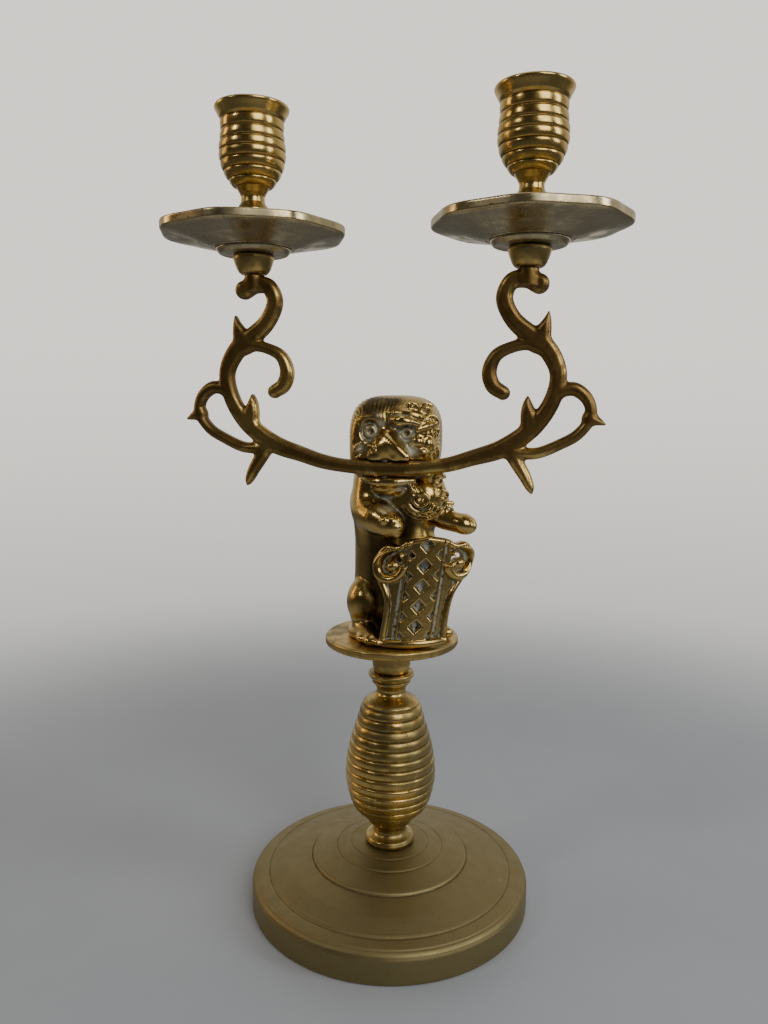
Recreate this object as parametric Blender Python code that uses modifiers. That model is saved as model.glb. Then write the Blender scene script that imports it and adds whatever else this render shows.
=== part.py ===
"""Tabletop candelabra: a turned brass stem, a seated lion that holds a two-armed branch, two candle cups.

Frame: origin at the centre of the base's underside, +Z up. The branch runs along X and the lion looks
towards -Y.
Lengths below are in millimetres, and MM turns them into metres.
"""

import math

import bmesh
import bpy
from mathutils import Matrix, Vector

MM = 0.001
GAP = 0.3             # left between pieces that touch
CLEARANCE = 0.2       # radial play of a rod, stud or pin in its hole

# Base, stem and platform
BASE_R = 60.0
BASE_HUB_Z = 19.6     # underside of the base's middle, which the washer pulls on
BASE_TOP_Z = 25.2
ROD_R = 3.0
ROD_BOTTOM_Z = 8.0
ROD_TOP_Z = 146.0
KNOP_TOP_Z = 102.0
NECK_TOP_Z = 114.4
PLATFORM_R = 28.1
PLATFORM_TOP_Z = 118.5
LION_FOOT_Z = PLATFORM_TOP_Z + GAP
BELOW_FOOT = ((-60, -60, 90), (60, 60, LION_FOOT_Z))

# Branch
BRANCH_Y = -17.0
CUP_X = 53.7
ARM_TIP_Z = 265.2
TIP_R = 3.7
TIP_LENGTH = 6.4

# Boss, pan, cup and stud, all on an arm's tip
BOSS_TOP_Z = 272.7
PAN_BOTTOM_Z = BOSS_TOP_Z + GAP
PAN_FLOOR_Z = PAN_BOTTOM_Z + 1.6
PAN_RIM_R = 36.0
PAN_FOOT_R = 14.6      # the flat round foot that stands on the boss
PAN_EDGE_Z = (279.7, 283.2)
PAN_LOBES = 8
PAN_LOBE_HEIGHT = 0.7
CUP_FOOT_Z = PAN_FLOOR_Z + GAP
CUP_TOP_Z = 328.1
CUP_LIP_R = 14.5
CUP_BORE_R = 10.9
CUP_BORE_DEPTH = 22.0
CUP_FLOOR_Z = CUP_TOP_Z - CUP_BORE_DEPTH
STUD_R = 2.0
STUD_BOTTOM_Z = ARM_TIP_Z - 4.9
STUD_TOP_Z = CUP_FOOT_Z + 11.0

# Pins
PIN_R = 1.5
BRANCH_PIN_Z = (183.5, 197.0)
BRANCH_PIN_HOLE_Z = (180.0, 200.0)

# Shield: where the middle of its lower edge stands, and the way it faces
SHIELD_FOOT = Vector((13.2, -21.5, LION_FOOT_Z + 0.4))
SHIELD_TURN = math.radians(15)
SHIELD_SKEW = (0.115, 0.035)     # shifts across per mm of height, and up per mm across
SHIELD_CURVE_R = 30.0
SHIELD_THICKNESS = 3.6
SHIELD_PIN_HEIGHTS = (12.0, 34.0)    # up the shield
SHIELD_PIN_START = 0.45 * SHIELD_THICKNESS
SHIELD_PIN_END = SHIELD_THICKNESS + 6.0
CURL_ACROSS = 15.0
CURL_HEIGHT = 33.0
CURL_R = 4.2


def clear_scene():
    for obj in list(bpy.data.objects):
        bpy.data.objects.remove(obj, do_unlink=True)


def new_collection(name):
    collection = bpy.data.collections.new(name)
    bpy.context.scene.collection.children.link(collection)
    return collection


def metal(name, colour, roughness):
    material = bpy.data.materials.new(name)
    material.use_nodes = True
    shader = material.node_tree.nodes["Principled BSDF"]
    shader.inputs["Base Color"].default_value = (*colour, 1.0)
    shader.inputs["Roughness"].default_value = roughness
    shader.inputs["Metallic"].default_value = 1.0
    return material


def add_object(name, data, collection, material=None):
    obj = bpy.data.objects.new(name, data)
    collection.objects.link(obj)
    if material:
        data.materials.append(material)
    return obj


def shade_round(mesh, degrees=35):
    mesh.shade_smooth()
    mesh.set_sharp_from_angle(angle=math.radians(degrees))


def bake(obj):
    """Turns an object and its modifiers into a plain mesh object, with its ends welded."""
    bpy.context.view_layer.update()
    graph = bpy.context.evaluated_depsgraph_get()
    mesh = bpy.data.meshes.new_from_object(obj.evaluated_get(graph))
    shape = bmesh.new()
    shape.from_mesh(mesh)
    bmesh.ops.remove_doubles(shape, verts=shape.verts, dist=0.01 * MM)
    bmesh.ops.recalc_face_normals(shape, faces=shape.faces)
    shape.to_mesh(mesh)
    shape.free()
    name, place, homes = obj.name, obj.matrix_world.copy(), list(obj.users_collection)
    bpy.data.objects.remove(obj, do_unlink=True)
    baked = bpy.data.objects.new(name, mesh)
    baked.name = name
    homes[0].objects.link(baked)
    baked.matrix_world = place
    return baked


def boolean(obj, other, operation):
    step = obj.modifiers.new(operation.title() + " " + other.name, "BOOLEAN")
    step.operation = operation
    step.solver = "EXACT"
    step.object = other
    if operation == "DIFFERENCE":
        other.hide_render = True
        other.display_type = "WIRE"


def fuse(name, shapes, material):
    """One body from overlapping shapes, which are used up."""
    first, *others = shapes
    for other in others:
        boolean(first, other, "UNION")
    fused = bake(first)
    for other in others:
        bpy.data.objects.remove(other, do_unlink=True)
    fused.name = name
    fused.data.name = name
    fused.data.materials.clear()
    fused.data.materials.append(material)
    return fused


# ---------------------------------------------------------------- turned work


def turned(name, profile, collection, material, steps, at=(0.0, 0.0), closed=True):
    """A shape turned round the vertical. Its (radius, z) profile runs down the outer side.

    A closed profile makes a ring, and an open one has both its ends on the axis.
    """
    count = len(profile)
    edges = [(i, (i + 1) % count) for i in range(count if closed else count - 1)]
    mesh = bpy.data.meshes.new(name)
    mesh.from_pydata([(r * MM, 0.0, z * MM) for r, z in profile], edges, [])
    obj = add_object(name, mesh, collection, material)
    obj.location = (at[0] * MM, at[1] * MM, 0.0)
    screw = obj.modifiers.new("Turn", "SCREW")
    screw.axis = "Z"
    screw.angle = 2 * math.pi
    screw.steps = steps
    screw.render_steps = steps
    screw.use_smooth_shade = True
    screw.use_merge_vertices = not closed
    screw.merge_threshold = 0.00005
    return obj


def rod(name, radius, bottom, top, collection, material, at=(0.0, 0.0)):
    """An upright round bar with flat ends."""
    mesh = bpy.data.meshes.new(name)
    shape = bmesh.new()
    bmesh.ops.create_cone(
        shape, cap_ends=True, segments=16, radius1=radius * MM, radius2=radius * MM,
        depth=(top - bottom) * MM,
    )
    shape.to_mesh(mesh)
    shape.free()
    shade_round(mesh)
    obj = add_object(name, mesh, collection, material)
    obj.location = (at[0] * MM, at[1] * MM, (bottom + top) / 2 * MM)
    return obj


def radius_along(points):
    """A function that reads the radius at a height from (radius, z) points listed downwards."""

    def radius_at(z):
        for (r0, z0), (r1, z1) in zip(points, points[1:]):
            if z1 <= z <= z0:
                return r0 + (r1 - r0) * (z0 - z) / (z0 - z1)
        return points[-1][0]

    return radius_at


def ridged_side(points, pitch, depth):
    """A ribbed side along these (radius, z) points: rounded ridges, with grooves this deep between them."""
    radius_at = radius_along(points)
    top, bottom = points[0][1], points[-1][1]
    count = round((top - bottom) / pitch)
    step = (top - bottom) / count
    side = []
    for i in range(count):
        groove_z = top - i * step
        side.append((radius_at(groove_z) - depth, groove_z))
        side.append((radius_at(groove_z - step / 2), groove_z - step / 2))
    side.append((radius_at(bottom) - depth, bottom))
    return side


def make_base(parts, material):
    hole_r = ROD_R + CLEARANCE
    top = [(13.0, BASE_TOP_Z), (23.0, 23.2), (33.0, 20.4), (34.2, 19.4), (52.4, 14.3)]
    side = [(57.6, 13.2), (59.2, 12.0), (BASE_R, 10.4), (BASE_R, 0.8), (BASE_R - 0.6, 0.0)]
    hollow = [(56.6, 0.0), (56.6, 9.4), (52.0, 11.4), (31.0, 16.6), (13.0, BASE_HUB_Z)]
    hub = [(hole_r, BASE_HUB_Z), (hole_r, BASE_TOP_Z)]
    turned("base", top + side + hollow + hub, parts, material, 56)


def make_fastening(parts, material):
    """The tie rod up the middle, and the washer and the hex nut that pull on it from inside the base."""
    hole_r = ROD_R + CLEARANCE
    washer_top = BASE_HUB_Z - GAP
    washer_bottom = washer_top - 1.6
    nut_top = washer_bottom - GAP
    nut_bottom = nut_top - 5.0
    washer = [(9.0, washer_top), (9.0, washer_bottom), (hole_r, washer_bottom), (hole_r, washer_top)]
    turned("base_washer", washer, parts, material, 24)
    nut = [(5.8, nut_top), (5.8, nut_bottom), (hole_r + 0.3, nut_bottom), (hole_r + 0.3, nut_top)]
    turned("base_nut", nut, parts, material, 6)
    rod("tie_rod", ROD_R, ROD_BOTTOM_Z, ROD_TOP_Z, parts, material)


def make_knop(parts, material):
    hole_r = ROD_R + CLEARANCE
    foot_z = BASE_TOP_Z + GAP
    ring = [
        (7.6, KNOP_TOP_Z), (9.9, 101.4), (9.7, 100.0), (8.1, 98.2), (6.2, 94.8), (6.2, 92.9), (9.6, 90.6),
        (12.1, 88.6),
    ]
    beehive = [
        (12.5, 87.8), (13.6, 84.7), (14.7, 80.6), (16.8, 73.9), (18.7, 65.7), (19.5, 57.4),
        (19.0, 51.9), (17.7, 46.3), (15.6, 41.8), (12.0, 38.2),
    ]
    foot = [(9.4, 34.8), (7.1, 31.2), (8.5, 28.8), (10.3, 28.2), (10.7, 26.8), (10.3, foot_z)]
    bore = [(hole_r, foot_z), (hole_r, KNOP_TOP_Z)]
    turned("stem_knop", ring + ridged_side(beehive, 4.1, 0.6) + foot + bore, parts, material, 28)


def make_neck(parts, material):
    hole_r = ROD_R + CLEARANCE
    bottom = KNOP_TOP_Z + GAP
    side = [(8.9, NECK_TOP_Z), (8.9, 112.8), (8.1, 112.0), (8.1, 105.2), (7.5, bottom)]
    turned("neck_collar", side + [(hole_r, bottom), (hole_r, NECK_TOP_Z)], parts, material, 28)


def make_platform(parts, material):
    hole_r = ROD_R + CLEARANCE
    bottom = NECK_TOP_Z + GAP
    edge = 0.8
    side = [
        (PLATFORM_R - edge, PLATFORM_TOP_Z), (PLATFORM_R, PLATFORM_TOP_Z - edge),
        (PLATFORM_R, bottom + edge), (PLATFORM_R - edge, bottom),
    ]
    turned("platform", side + [(hole_r, bottom), (hole_r, PLATFORM_TOP_Z)], parts, material, 48)


# ---------------------------------------------------------------- arm-end pieces


def lobed(obj, inner_r, outer_r):
    """Pushes the rim of a turned pan out and in again, in even lobes that fade towards its middle."""
    obj = bake(obj)
    for vertex in obj.data.vertices:
        radius = math.hypot(vertex.co.x, vertex.co.y) / MM
        if radius > inner_r:
            share = (radius - inner_r) / (outer_r - inner_r)
            angle = math.atan2(vertex.co.y, vertex.co.x)
            stretch = 1 + PAN_LOBE_HEIGHT * share * math.cos(PAN_LOBES * angle) / radius
            vertex.co.x *= stretch
            vertex.co.y *= stretch
    return obj


def make_arm_end(side, x, parts, material):
    """The boss, drip pan, candle cup and stud that stand on the tip of one arm."""
    at = (x, BRANCH_Y)
    hole_r = STUD_R + CLEARANCE
    boss_bottom = ARM_TIP_Z + GAP
    boss = [(7.7, BOSS_TOP_Z), (8.0, 271.6), (6.6, 267.4), (5.0, boss_bottom)]
    turned(side + "_boss", boss + [(hole_r, boss_bottom), (hole_r, BOSS_TOP_Z)], parts, material, 24, at)

    edge_bottom, edge_top = PAN_EDGE_Z
    underside = [
        (PAN_RIM_R - 0.3, edge_top), (PAN_RIM_R, edge_top - 0.6), (PAN_RIM_R, edge_bottom + 0.6),
        (PAN_RIM_R - 0.6, edge_bottom), (25.0, 277.8), (16.4, 275.4), (PAN_FOOT_R, 274.4),
        (PAN_FOOT_R - 1.4, PAN_BOTTOM_Z),
    ]
    dish = [
        (hole_r, PAN_BOTTOM_Z), (hole_r, PAN_FLOOR_Z), (13.2, PAN_FLOOR_Z), (16.6, 276.9),
        (24.6, 279.2), (34.2, 281.1), (34.9, edge_top),
    ]
    pan = turned(side + "_pan", underside + dish, parts, material, 40, at)
    lobed(pan, PAN_FOOT_R, PAN_RIM_R)

    socket = [(0.0, CUP_FLOOR_Z), (CUP_BORE_R - 1.5, CUP_FLOOR_Z), (CUP_BORE_R, CUP_FLOOR_Z + 1.5),
              (CUP_BORE_R, 322.5), (CUP_LIP_R - 1.2, CUP_TOP_Z)]
    lip = [(CUP_LIP_R - 0.3, CUP_TOP_Z), (CUP_LIP_R, CUP_TOP_Z - 0.7), (13.4, 325.2)]
    body = [(12.5, 322.8), (12.3, 318.5), (13.0, 312.0), (12.6, 307.5), (11.0, 303.0), (8.2, 299.0)]
    foot = [
        (5.2, 296.2), (4.6, 293.4), (5.9, 290.8), (6.5, 289.4), (5.9, 288.0), (4.9, 285.6),
        (5.4, 280.5), (8.9, 276.4), (9.2, CUP_FOOT_Z),
    ]
    stud_hole = [(hole_r, CUP_FOOT_Z), (hole_r, STUD_TOP_Z + GAP), (0.0, STUD_TOP_Z + GAP)]
    profile = socket + lip + ridged_side(body, 3.9, 0.5) + foot + stud_hole
    turned(side + "_cup", profile, parts, material, 24, at, closed=False)

    rod(side + "_stud", STUD_R, STUD_BOTTOM_Z, STUD_TOP_Z, parts, material, at)


# ---------------------------------------------------------------- branch


def smooth_path(knots, steps):
    """Points along a smooth line through these (x, z, radius) knots, by Catmull-Rom."""
    ends = [knots[0]] + knots + [knots[-1]]
    path = []
    for i in range(1, len(ends) - 2):
        p0, p1, p2, p3 = (Vector(ends[j]) for j in (i - 1, i, i + 1, i + 2))
        for k in range(steps):
            t = k / steps
            path.append(
                0.5 * (2 * p1 + (p2 - p0) * t + (2 * p0 - 5 * p1 + 4 * p2 - p3) * t**2
                       + (3 * p1 - p0 - 3 * p2 + p3) * t**3)
            )
    return path + [Vector(knots[-1])]


def stroke(name, knots, collection, steps=2):
    """One tapered bar of the branch, along (x, z, radius) knots in its plane."""
    data = bpy.data.curves.new(name, "CURVE")
    data.dimensions = "3D"
    data.bevel_depth = MM
    data.bevel_resolution = 1
    data.use_fill_caps = True
    path = smooth_path([tuple(knot) for knot in knots], steps)
    spline = data.splines.new("POLY")
    spline.points.add(len(path) - 1)
    for point, (x, z, radius) in zip(spline.points, path):
        point.co = (x * MM, BRANCH_Y * MM, z * MM, 1.0)
        point.radius = radius
    return bake(add_object(name, data, collection))


ARM_STROKES = {
    "stem": [
        (25, 192.2, 2.9), (34, 194.9, 3.1), (46, 199.0, 3.6), (56.5, 206.6, 3.5), (63.2, 216.0, 3.2),
        (65.6, 226.6, 3.2), (61.8, 235.4, 3.6), (55.4, 240.8, 3.6), (48.6, 246.8, 3.3), (45.0, 254.4, 3.2),
        (47.4, 260.6, 3.1), (52.8, 261.6, 3.3), (57.6, 259.6, 3.7),
    ],
    "scroll": [
        (57.0, 238.4, 2.6), (49.6, 237.2, 2.2), (42.8, 234.0, 2.4), (40.1, 228.0, 2.8), (41.5, 222.6, 2.9),
        (45.4, 219.8, 2.7),
    ],
    "upper_leaf": [(58.0, 238.5, 4.1), (59.6, 242.5, 3.0), (60.9, 246.4, 1.5), (61.4, 249.2, 0.5)],
    "inner_leaf": [(56.0, 207.5, 3.6), (55.2, 211.6, 3.0), (54.7, 215.2, 1.9), (54.7, 217.8, 1.0)],
    "lower_leaf": [
        (49.0, 197.6, 3.0), (52.0, 192.6, 2.6), (54.6, 188.4, 2.3), (56.4, 184.6, 2.1), (57.0, 183.2, 1.6),
    ],
    "loop": [
        (66.4, 220.8, 2.5), (72.0, 221.2, 2.6), (76.7, 217.2, 2.3), (77.8, 211.0, 2.1), (73.4, 204.6, 2.1),
        (66.6, 200.6, 2.1), (58.8, 197.4, 2.2), (50.4, 197.2, 2.4),
    ],
    "spur": [(77.0, 210.8, 2.3), (80.0, 209.8, 1.8), (82.4, 208.8, 1.0)],
}
BAR = [(-25, 192.2, 2.9), (-15, 190.7, 2.75), (0, 189.9, 3.1), (15, 190.7, 2.75), (25, 192.2, 2.9)]


def make_branch(parts, cutters, material):
    shapes = [stroke("branch_bar", BAR, parts)]
    for sign in (-1, 1):
        for name, knots in ARM_STROKES.items():
            mirrored = [(sign * x, z, radius) for x, z, radius in knots]
            shapes.append(stroke(f"branch_{name}_{sign}", mirrored, parts))
        at = (sign * CUP_X, BRANCH_Y)
        tip = rod(f"branch_tip_{sign}", TIP_R, ARM_TIP_Z - TIP_LENGTH, ARM_TIP_Z, parts, None, at)
        shapes.append(bake(tip))
    branch = fuse("branch", shapes, material)
    for sign, side in ((-1, "left"), (1, "right")):
        at = (sign * CUP_X, BRANCH_Y)
        bottom, top = STUD_BOTTOM_Z - GAP, ARM_TIP_Z + 1.0
        hole = rod(side + "_stud_hole", STUD_R + CLEARANCE, bottom, top, cutters, None, at)
        boolean(branch, hole, "DIFFERENCE")
    pin_hole = rod("bar_pin_hole", PIN_R + CLEARANCE, *BRANCH_PIN_HOLE_Z, cutters, None, (0.0, BRANCH_Y))
    boolean(branch, pin_hole, "DIFFERENCE")
    shade_round(branch.data, 40)
    return branch


# ---------------------------------------------------------------- shield


def shield_place():
    """The shield's own frame: X across it, Z up its middle, -Y out of its front, origin at its foot."""
    across, up = SHIELD_SKEW
    skew = Matrix(((1, 0, across, 0), (0, 1, 0, 0), (up, 0, 1, 0), (0, 0, 0, 1)))
    return Matrix.Translation(SHIELD_FOOT * MM) @ Matrix.Rotation(SHIELD_TURN, 4, "Z") @ skew


def shield_outline(margin):
    """Half of the outline, from the foot up to the top, grown by a margin."""
    half = [
        (0.0, -0.6), (7.0, -0.2), (12.6, 1.0), (13.0, 4.0), (12.8, 12.0), (13.8, 20.0), (18.0, 26.0),
        (20.8, 31.0), (20.6, 37.0), (17.0, 41.4), (12.0, 41.0), (8.0, 43.4), (0.0, 45.4),
    ]
    middle = Vector((0.0, 22.0))
    grown = []
    for point in (Vector(p) for p in half):
        away = (point - middle).normalized()
        grown.append(point + Vector((away.x * margin if point.x else 0.0, away.y * margin)))
    return grown


def shield_solid(name, collection, margin=0.0):
    """A curved plate: the outline, cut out of a tall round shell."""
    half = shield_outline(margin)
    outline = half + [Vector((-p.x, p.y)) for p in reversed(half[1:-1])]
    data = bpy.data.curves.new(name, "CURVE")
    data.dimensions = "2D"
    data.fill_mode = "BOTH"
    data.extrude = 20 * MM
    spline = data.splines.new("POLY")
    spline.points.add(len(outline) - 1)
    for point, corner in zip(spline.points, outline):
        point.co = (corner.x * MM, corner.y * MM, 0.0, 1.0)
    spline.use_cyclic_u = True
    plate = add_object(name, data, collection)
    plate.matrix_world = Matrix.Rotation(math.radians(90), 4, "X")
    plate = bake(plate)

    outer_r = SHIELD_CURVE_R + margin
    inner_r = SHIELD_CURVE_R - SHIELD_THICKNESS - margin
    ring = [(outer_r, 60.0), (outer_r, -10.0), (inner_r, -10.0), (inner_r, 60.0)]
    shell = turned(name + "_shell", ring, collection, None, 56)
    shell.location = (0.0, SHIELD_CURVE_R * MM, 0.0)
    shell = bake(shell)
    boolean(plate, shell, "INTERSECT")
    plate = bake(plate)
    bpy.data.objects.remove(shell, do_unlink=True)
    # The shell is a full ring, so the piece at its back is removed.
    shape = bmesh.new()
    shape.from_mesh(plate.data)
    shape.transform(plate.matrix_world)
    back_piece = [v for v in shape.verts if v.co.y > 0.6 * SHIELD_CURVE_R * MM]
    bmesh.ops.delete(shape, geom=back_piece, context="VERTS")
    shape.transform(shield_place())
    shape.to_mesh(plate.data)
    shape.free()
    plate.matrix_world = Matrix.Identity(4)
    return plate


def make_shield(parts, cutters, material):
    plate = shield_solid("shield", parts)
    ears = []
    for sign in (-1, 1):
        mesh = bpy.data.meshes.new("shield_curl")
        shape = bmesh.new()
        bmesh.ops.create_uvsphere(shape, u_segments=14, v_segments=8, radius=CURL_R * MM)
        shape.to_mesh(mesh)
        shape.free()
        back = SHIELD_CURVE_R - math.sqrt(SHIELD_CURVE_R**2 - CURL_ACROSS**2) + 0.8
        middle = Vector((sign * CURL_ACROSS, back, CURL_HEIGHT))
        mesh.transform(shield_place() @ Matrix.Translation(middle * MM))
        ears.append(add_object(f"shield_curl_{sign}", mesh, parts))
    shield = fuse("shield", [plate] + ears, material)
    boolean(shield, box("shield_below", *BELOW_FOOT, cutters), "DIFFERENCE")
    for height in SHIELD_PIN_HEIGHTS:
        hole = shield_pin(f"shield_hole_{height:.0f}", height, PIN_R + CLEARANCE, GAP, cutters, None)
        boolean(shield, hole, "DIFFERENCE")
    shade_round(shield.data, 40)
    return shield


def shield_pin(name, height, radius, slack, collection, material):
    """A pin through the shield's back at this height, or the slightly wider shape of its hole."""
    front, back = SHIELD_PIN_START - slack, SHIELD_PIN_END + slack
    obj = rod(name, radius, -(back - front) / 2, (back - front) / 2, collection, material)
    middle = shield_place() @ Vector((0.0, (front + back) / 2 * MM, height * MM))
    turn = Matrix.Rotation(SHIELD_TURN, 4, "Z") @ Matrix.Rotation(math.radians(90), 4, "X")
    obj.matrix_world = Matrix.Translation(middle) @ turn
    return obj


# ---------------------------------------------------------------- lion

# Rounded masses: middle, then half sizes along X, Y and Z.
LION_MASSES = {
    "torso": ((-2.6, 1.0, 158.0), (14.2, 12.0, 34.0)),
    "seat": ((-2.0, 3.0, 134.0), (14.0, 13.0, 18.0)),
    "near_haunch": ((-9.6, -5.0, 134.0), (8.2, 10.6, 11.0)),
    "far_haunch": ((7.0, 7.0, 132.0), (11.0, 11.0, 13.4)),
    "shoulder": ((-7.6, -4.5, 177.0), (9.6, 10.4, 13.0)),
    "chest": ((10.0, -6.0, 175.0), (14.0, 10.5, 12.5)),
    "breast": ((9.0, -8.0, 150.0), (9.0, 10.0, 24.0)),
    "collar": ((14.0, -6.0, 181.0), (9.8, 9.5, 8.5)),
    "neck": ((0.6, 0.5, 188.0), (17.4, 13.5, 14.0)),
    "brow": ((7.0, -14.0, 209.4), (7.0, 4.0, 2.4)),
    "muzzle": ((0.8, -14.6, 199.0), (6.8, 6.8, 7.0)),
    "cheek": ((14.0, -12.5, 200.0), (4.8, 4.2, 4.2)),
    "jaw": ((0.6, -12.6, 184.2), (8.4, 6.0, 2.6)),
}
# Limbs: (x, y, z, radius) knots.
LION_LIMBS = {
    "near_foreleg": [(-8, -7, 177, 7.8), (-5, -12, 172, 7.2), (0, -17, 169.2, 5.6), (3.2, -19, 167.6, 4.6)],
    "far_foreleg": [(13, -5, 177, 6.0), (23, -9, 170.4, 4.6), (31, -9.5, 168.3, 4.1)],
    "near_foot": [(-12, -5, 122.6, 4.6), (-9, -11, 122.0, 4.2), (-4.6, -18.4, 121.2, 3.2)],
    "far_foot": [(12, 6, 122.5, 4.6), (18.5, 2, 121.4, 3.8)],
}
HEAD_MIDDLE = (1.2, 0.0, 202.0)
HEAD_HALF = (18.4, 15.5, 16.7)
HEAD_ROUNDING = 11.0
MOUTH = ((-40.0, -40.0, 186.3), (40.0, -13.6, 193.4))
SKIN_VOXEL = 1.1
SKIN_KEPT = 0.055     # share of the remeshed skin's faces that are kept


def mass(name, middle, half, collection):
    mesh = bpy.data.meshes.new(name)
    shape = bmesh.new()
    bmesh.ops.create_icosphere(shape, subdivisions=3, radius=MM)
    shape.to_mesh(mesh)
    shape.free()
    mesh.transform(Matrix.Translation(Vector(middle) * MM) @ Matrix.Diagonal((*half, 1.0)))
    return add_object(name, mesh, collection)


def box(name, low, high, collection):
    mesh = bpy.data.meshes.new(name)
    shape = bmesh.new()
    bmesh.ops.create_cube(shape, size=MM)
    shape.to_mesh(mesh)
    shape.free()
    low, high = Vector(low), Vector(high)
    mesh.transform(Matrix.Translation((low + high) / 2 * MM) @ Matrix.Diagonal((*(high - low), 1.0)))
    return add_object(name, mesh, collection)


def limb(name, knots, collection):
    data = bpy.data.curves.new(name, "CURVE")
    data.dimensions = "3D"
    data.bevel_depth = MM
    data.bevel_resolution = 4
    data.use_fill_caps = True
    spline = data.splines.new("POLY")
    spline.points.add(len(knots) - 1)
    for point, (x, y, z, radius) in zip(spline.points, knots):
        point.co = (x * MM, y * MM, z * MM, 1.0)
        point.radius = radius
    shapes = [bake(add_object(name, data, collection))]
    x, y, z, radius = knots[-1]
    shapes.append(mass(name + "_paw", (x, y, z), (radius * 1.1,) * 3, collection))
    return shapes


def make_lion(parts, cutters, material):
    middle, half = Vector(HEAD_MIDDLE), Vector(HEAD_HALF)
    head = box("lion", middle - half, middle + half, parts)
    soften = head.modifiers.new("Rounding", "BEVEL")
    soften.width = HEAD_ROUNDING * MM
    soften.segments = 5
    shapes = [bake(head)]
    for name, (middle, half) in LION_MASSES.items():
        shapes.append(mass("lion_" + name, middle, half, parts))
    for name, knots in LION_LIMBS.items():
        shapes += limb("lion_" + name, knots, parts)
    joined = bpy.data.meshes.new("lion")
    shape = bmesh.new()
    for piece in shapes:
        piece.data.transform(piece.matrix_world)
        shape.from_mesh(piece.data)
        bpy.data.objects.remove(piece, do_unlink=True)
    shape.to_mesh(joined)
    shape.free()
    lion = add_object("lion", joined, parts, material)
    skin = lion.modifiers.new("One skin", "REMESH")
    skin.mode = "VOXEL"
    skin.voxel_size = SKIN_VOXEL * MM
    smooth = lion.modifiers.new("Soften", "SMOOTH")
    smooth.factor = 0.5
    smooth.iterations = 6
    thin_out = lion.modifiers.new("Fewer faces", "DECIMATE")
    thin_out.ratio = SKIN_KEPT
    lion = bake(lion)
    lion.data.materials.clear()
    lion.data.materials.append(material)

    boolean(lion, rod("rod_hole", ROD_R + CLEARANCE, 100.0, ROD_TOP_Z + GAP, cutters, None), "DIFFERENCE")
    boolean(lion, box("lion_below", *BELOW_FOOT, cutters), "DIFFERENCE")
    boolean(lion, box("lion_mouth", *MOUTH, cutters), "DIFFERENCE")
    boolean(lion, shield_solid("shield_room", cutters, margin=GAP), "DIFFERENCE")
    pin_low, pin_high = BRANCH_PIN_Z
    boolean(lion, rod("lion_pin_hole", PIN_R + CLEARANCE, pin_low - GAP, pin_high + GAP, cutters, None,
                      (0.0, BRANCH_Y)), "DIFFERENCE")
    for height in SHIELD_PIN_HEIGHTS:
        hole = shield_pin(f"lion_hole_{height:.0f}", height, PIN_R + CLEARANCE, GAP, cutters, None)
        boolean(lion, hole, "DIFFERENCE")
    shade_round(lion.data, 50)
    return lion


def main():
    clear_scene()
    parts = new_collection("tabletop candelabra")
    cutters = new_collection("cutters")
    base_brass = metal("base brass", (0.42, 0.33, 0.16), 0.38)
    stem_brass = metal("stem brass", (0.60, 0.44, 0.18), 0.24)
    cup_brass = metal("cup brass", (0.58, 0.43, 0.19), 0.25)
    dark_brass = metal("branch brass", (0.30, 0.22, 0.11), 0.36)
    lion_brass = metal("lion brass", (0.52, 0.38, 0.16), 0.30)
    steel = metal("steel", (0.45, 0.44, 0.42), 0.4)
    make_base(parts, base_brass)
    make_fastening(parts, steel)
    make_knop(parts, stem_brass)
    make_neck(parts, stem_brass)
    make_platform(parts, base_brass)
    make_lion(parts, cutters, lion_brass)
    make_shield(parts, cutters, lion_brass)
    for name, height in zip(("shield_pin_lower", "shield_pin_upper"), SHIELD_PIN_HEIGHTS):
        shield_pin(name, height, PIN_R, 0.0, parts, steel)
    make_branch(parts, cutters, dark_brass)
    rod("branch_pin", PIN_R, *BRANCH_PIN_Z, parts, steel, (0.0, BRANCH_Y))
    for side, x in (("left", -CUP_X), ("right", CUP_X)):
        make_arm_end(side, x, parts, cup_brass)


main()
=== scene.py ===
import math

import bpy
import numpy as np
from mathutils import Matrix, Vector


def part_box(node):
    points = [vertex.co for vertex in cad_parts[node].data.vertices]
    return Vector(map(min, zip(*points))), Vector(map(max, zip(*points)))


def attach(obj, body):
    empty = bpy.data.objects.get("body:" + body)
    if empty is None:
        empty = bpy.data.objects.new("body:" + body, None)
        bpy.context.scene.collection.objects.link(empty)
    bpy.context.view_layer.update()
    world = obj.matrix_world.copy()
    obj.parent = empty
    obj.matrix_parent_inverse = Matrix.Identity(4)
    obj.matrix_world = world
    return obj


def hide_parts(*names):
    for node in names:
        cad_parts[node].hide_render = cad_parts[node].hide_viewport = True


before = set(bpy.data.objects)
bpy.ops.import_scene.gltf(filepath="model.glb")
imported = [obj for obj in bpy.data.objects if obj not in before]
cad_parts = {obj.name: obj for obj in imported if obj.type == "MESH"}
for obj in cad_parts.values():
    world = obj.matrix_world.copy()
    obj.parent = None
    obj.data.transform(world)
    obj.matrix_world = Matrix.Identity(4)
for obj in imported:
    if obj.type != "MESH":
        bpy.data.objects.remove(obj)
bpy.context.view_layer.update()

# Lengths below are in millimetres in the frame's axes, and MM turns them into metres.
MM = 0.001


def centre_of(node):
    low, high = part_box(node)
    return (low + high) / 2 / MM


def floats(*rows):
    return [np.asarray(row, float) for row in rows]


def rotation(degrees, axis, size=3):
    return Matrix.Rotation(math.radians(degrees), size, axis)


# ---- meshes

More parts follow.
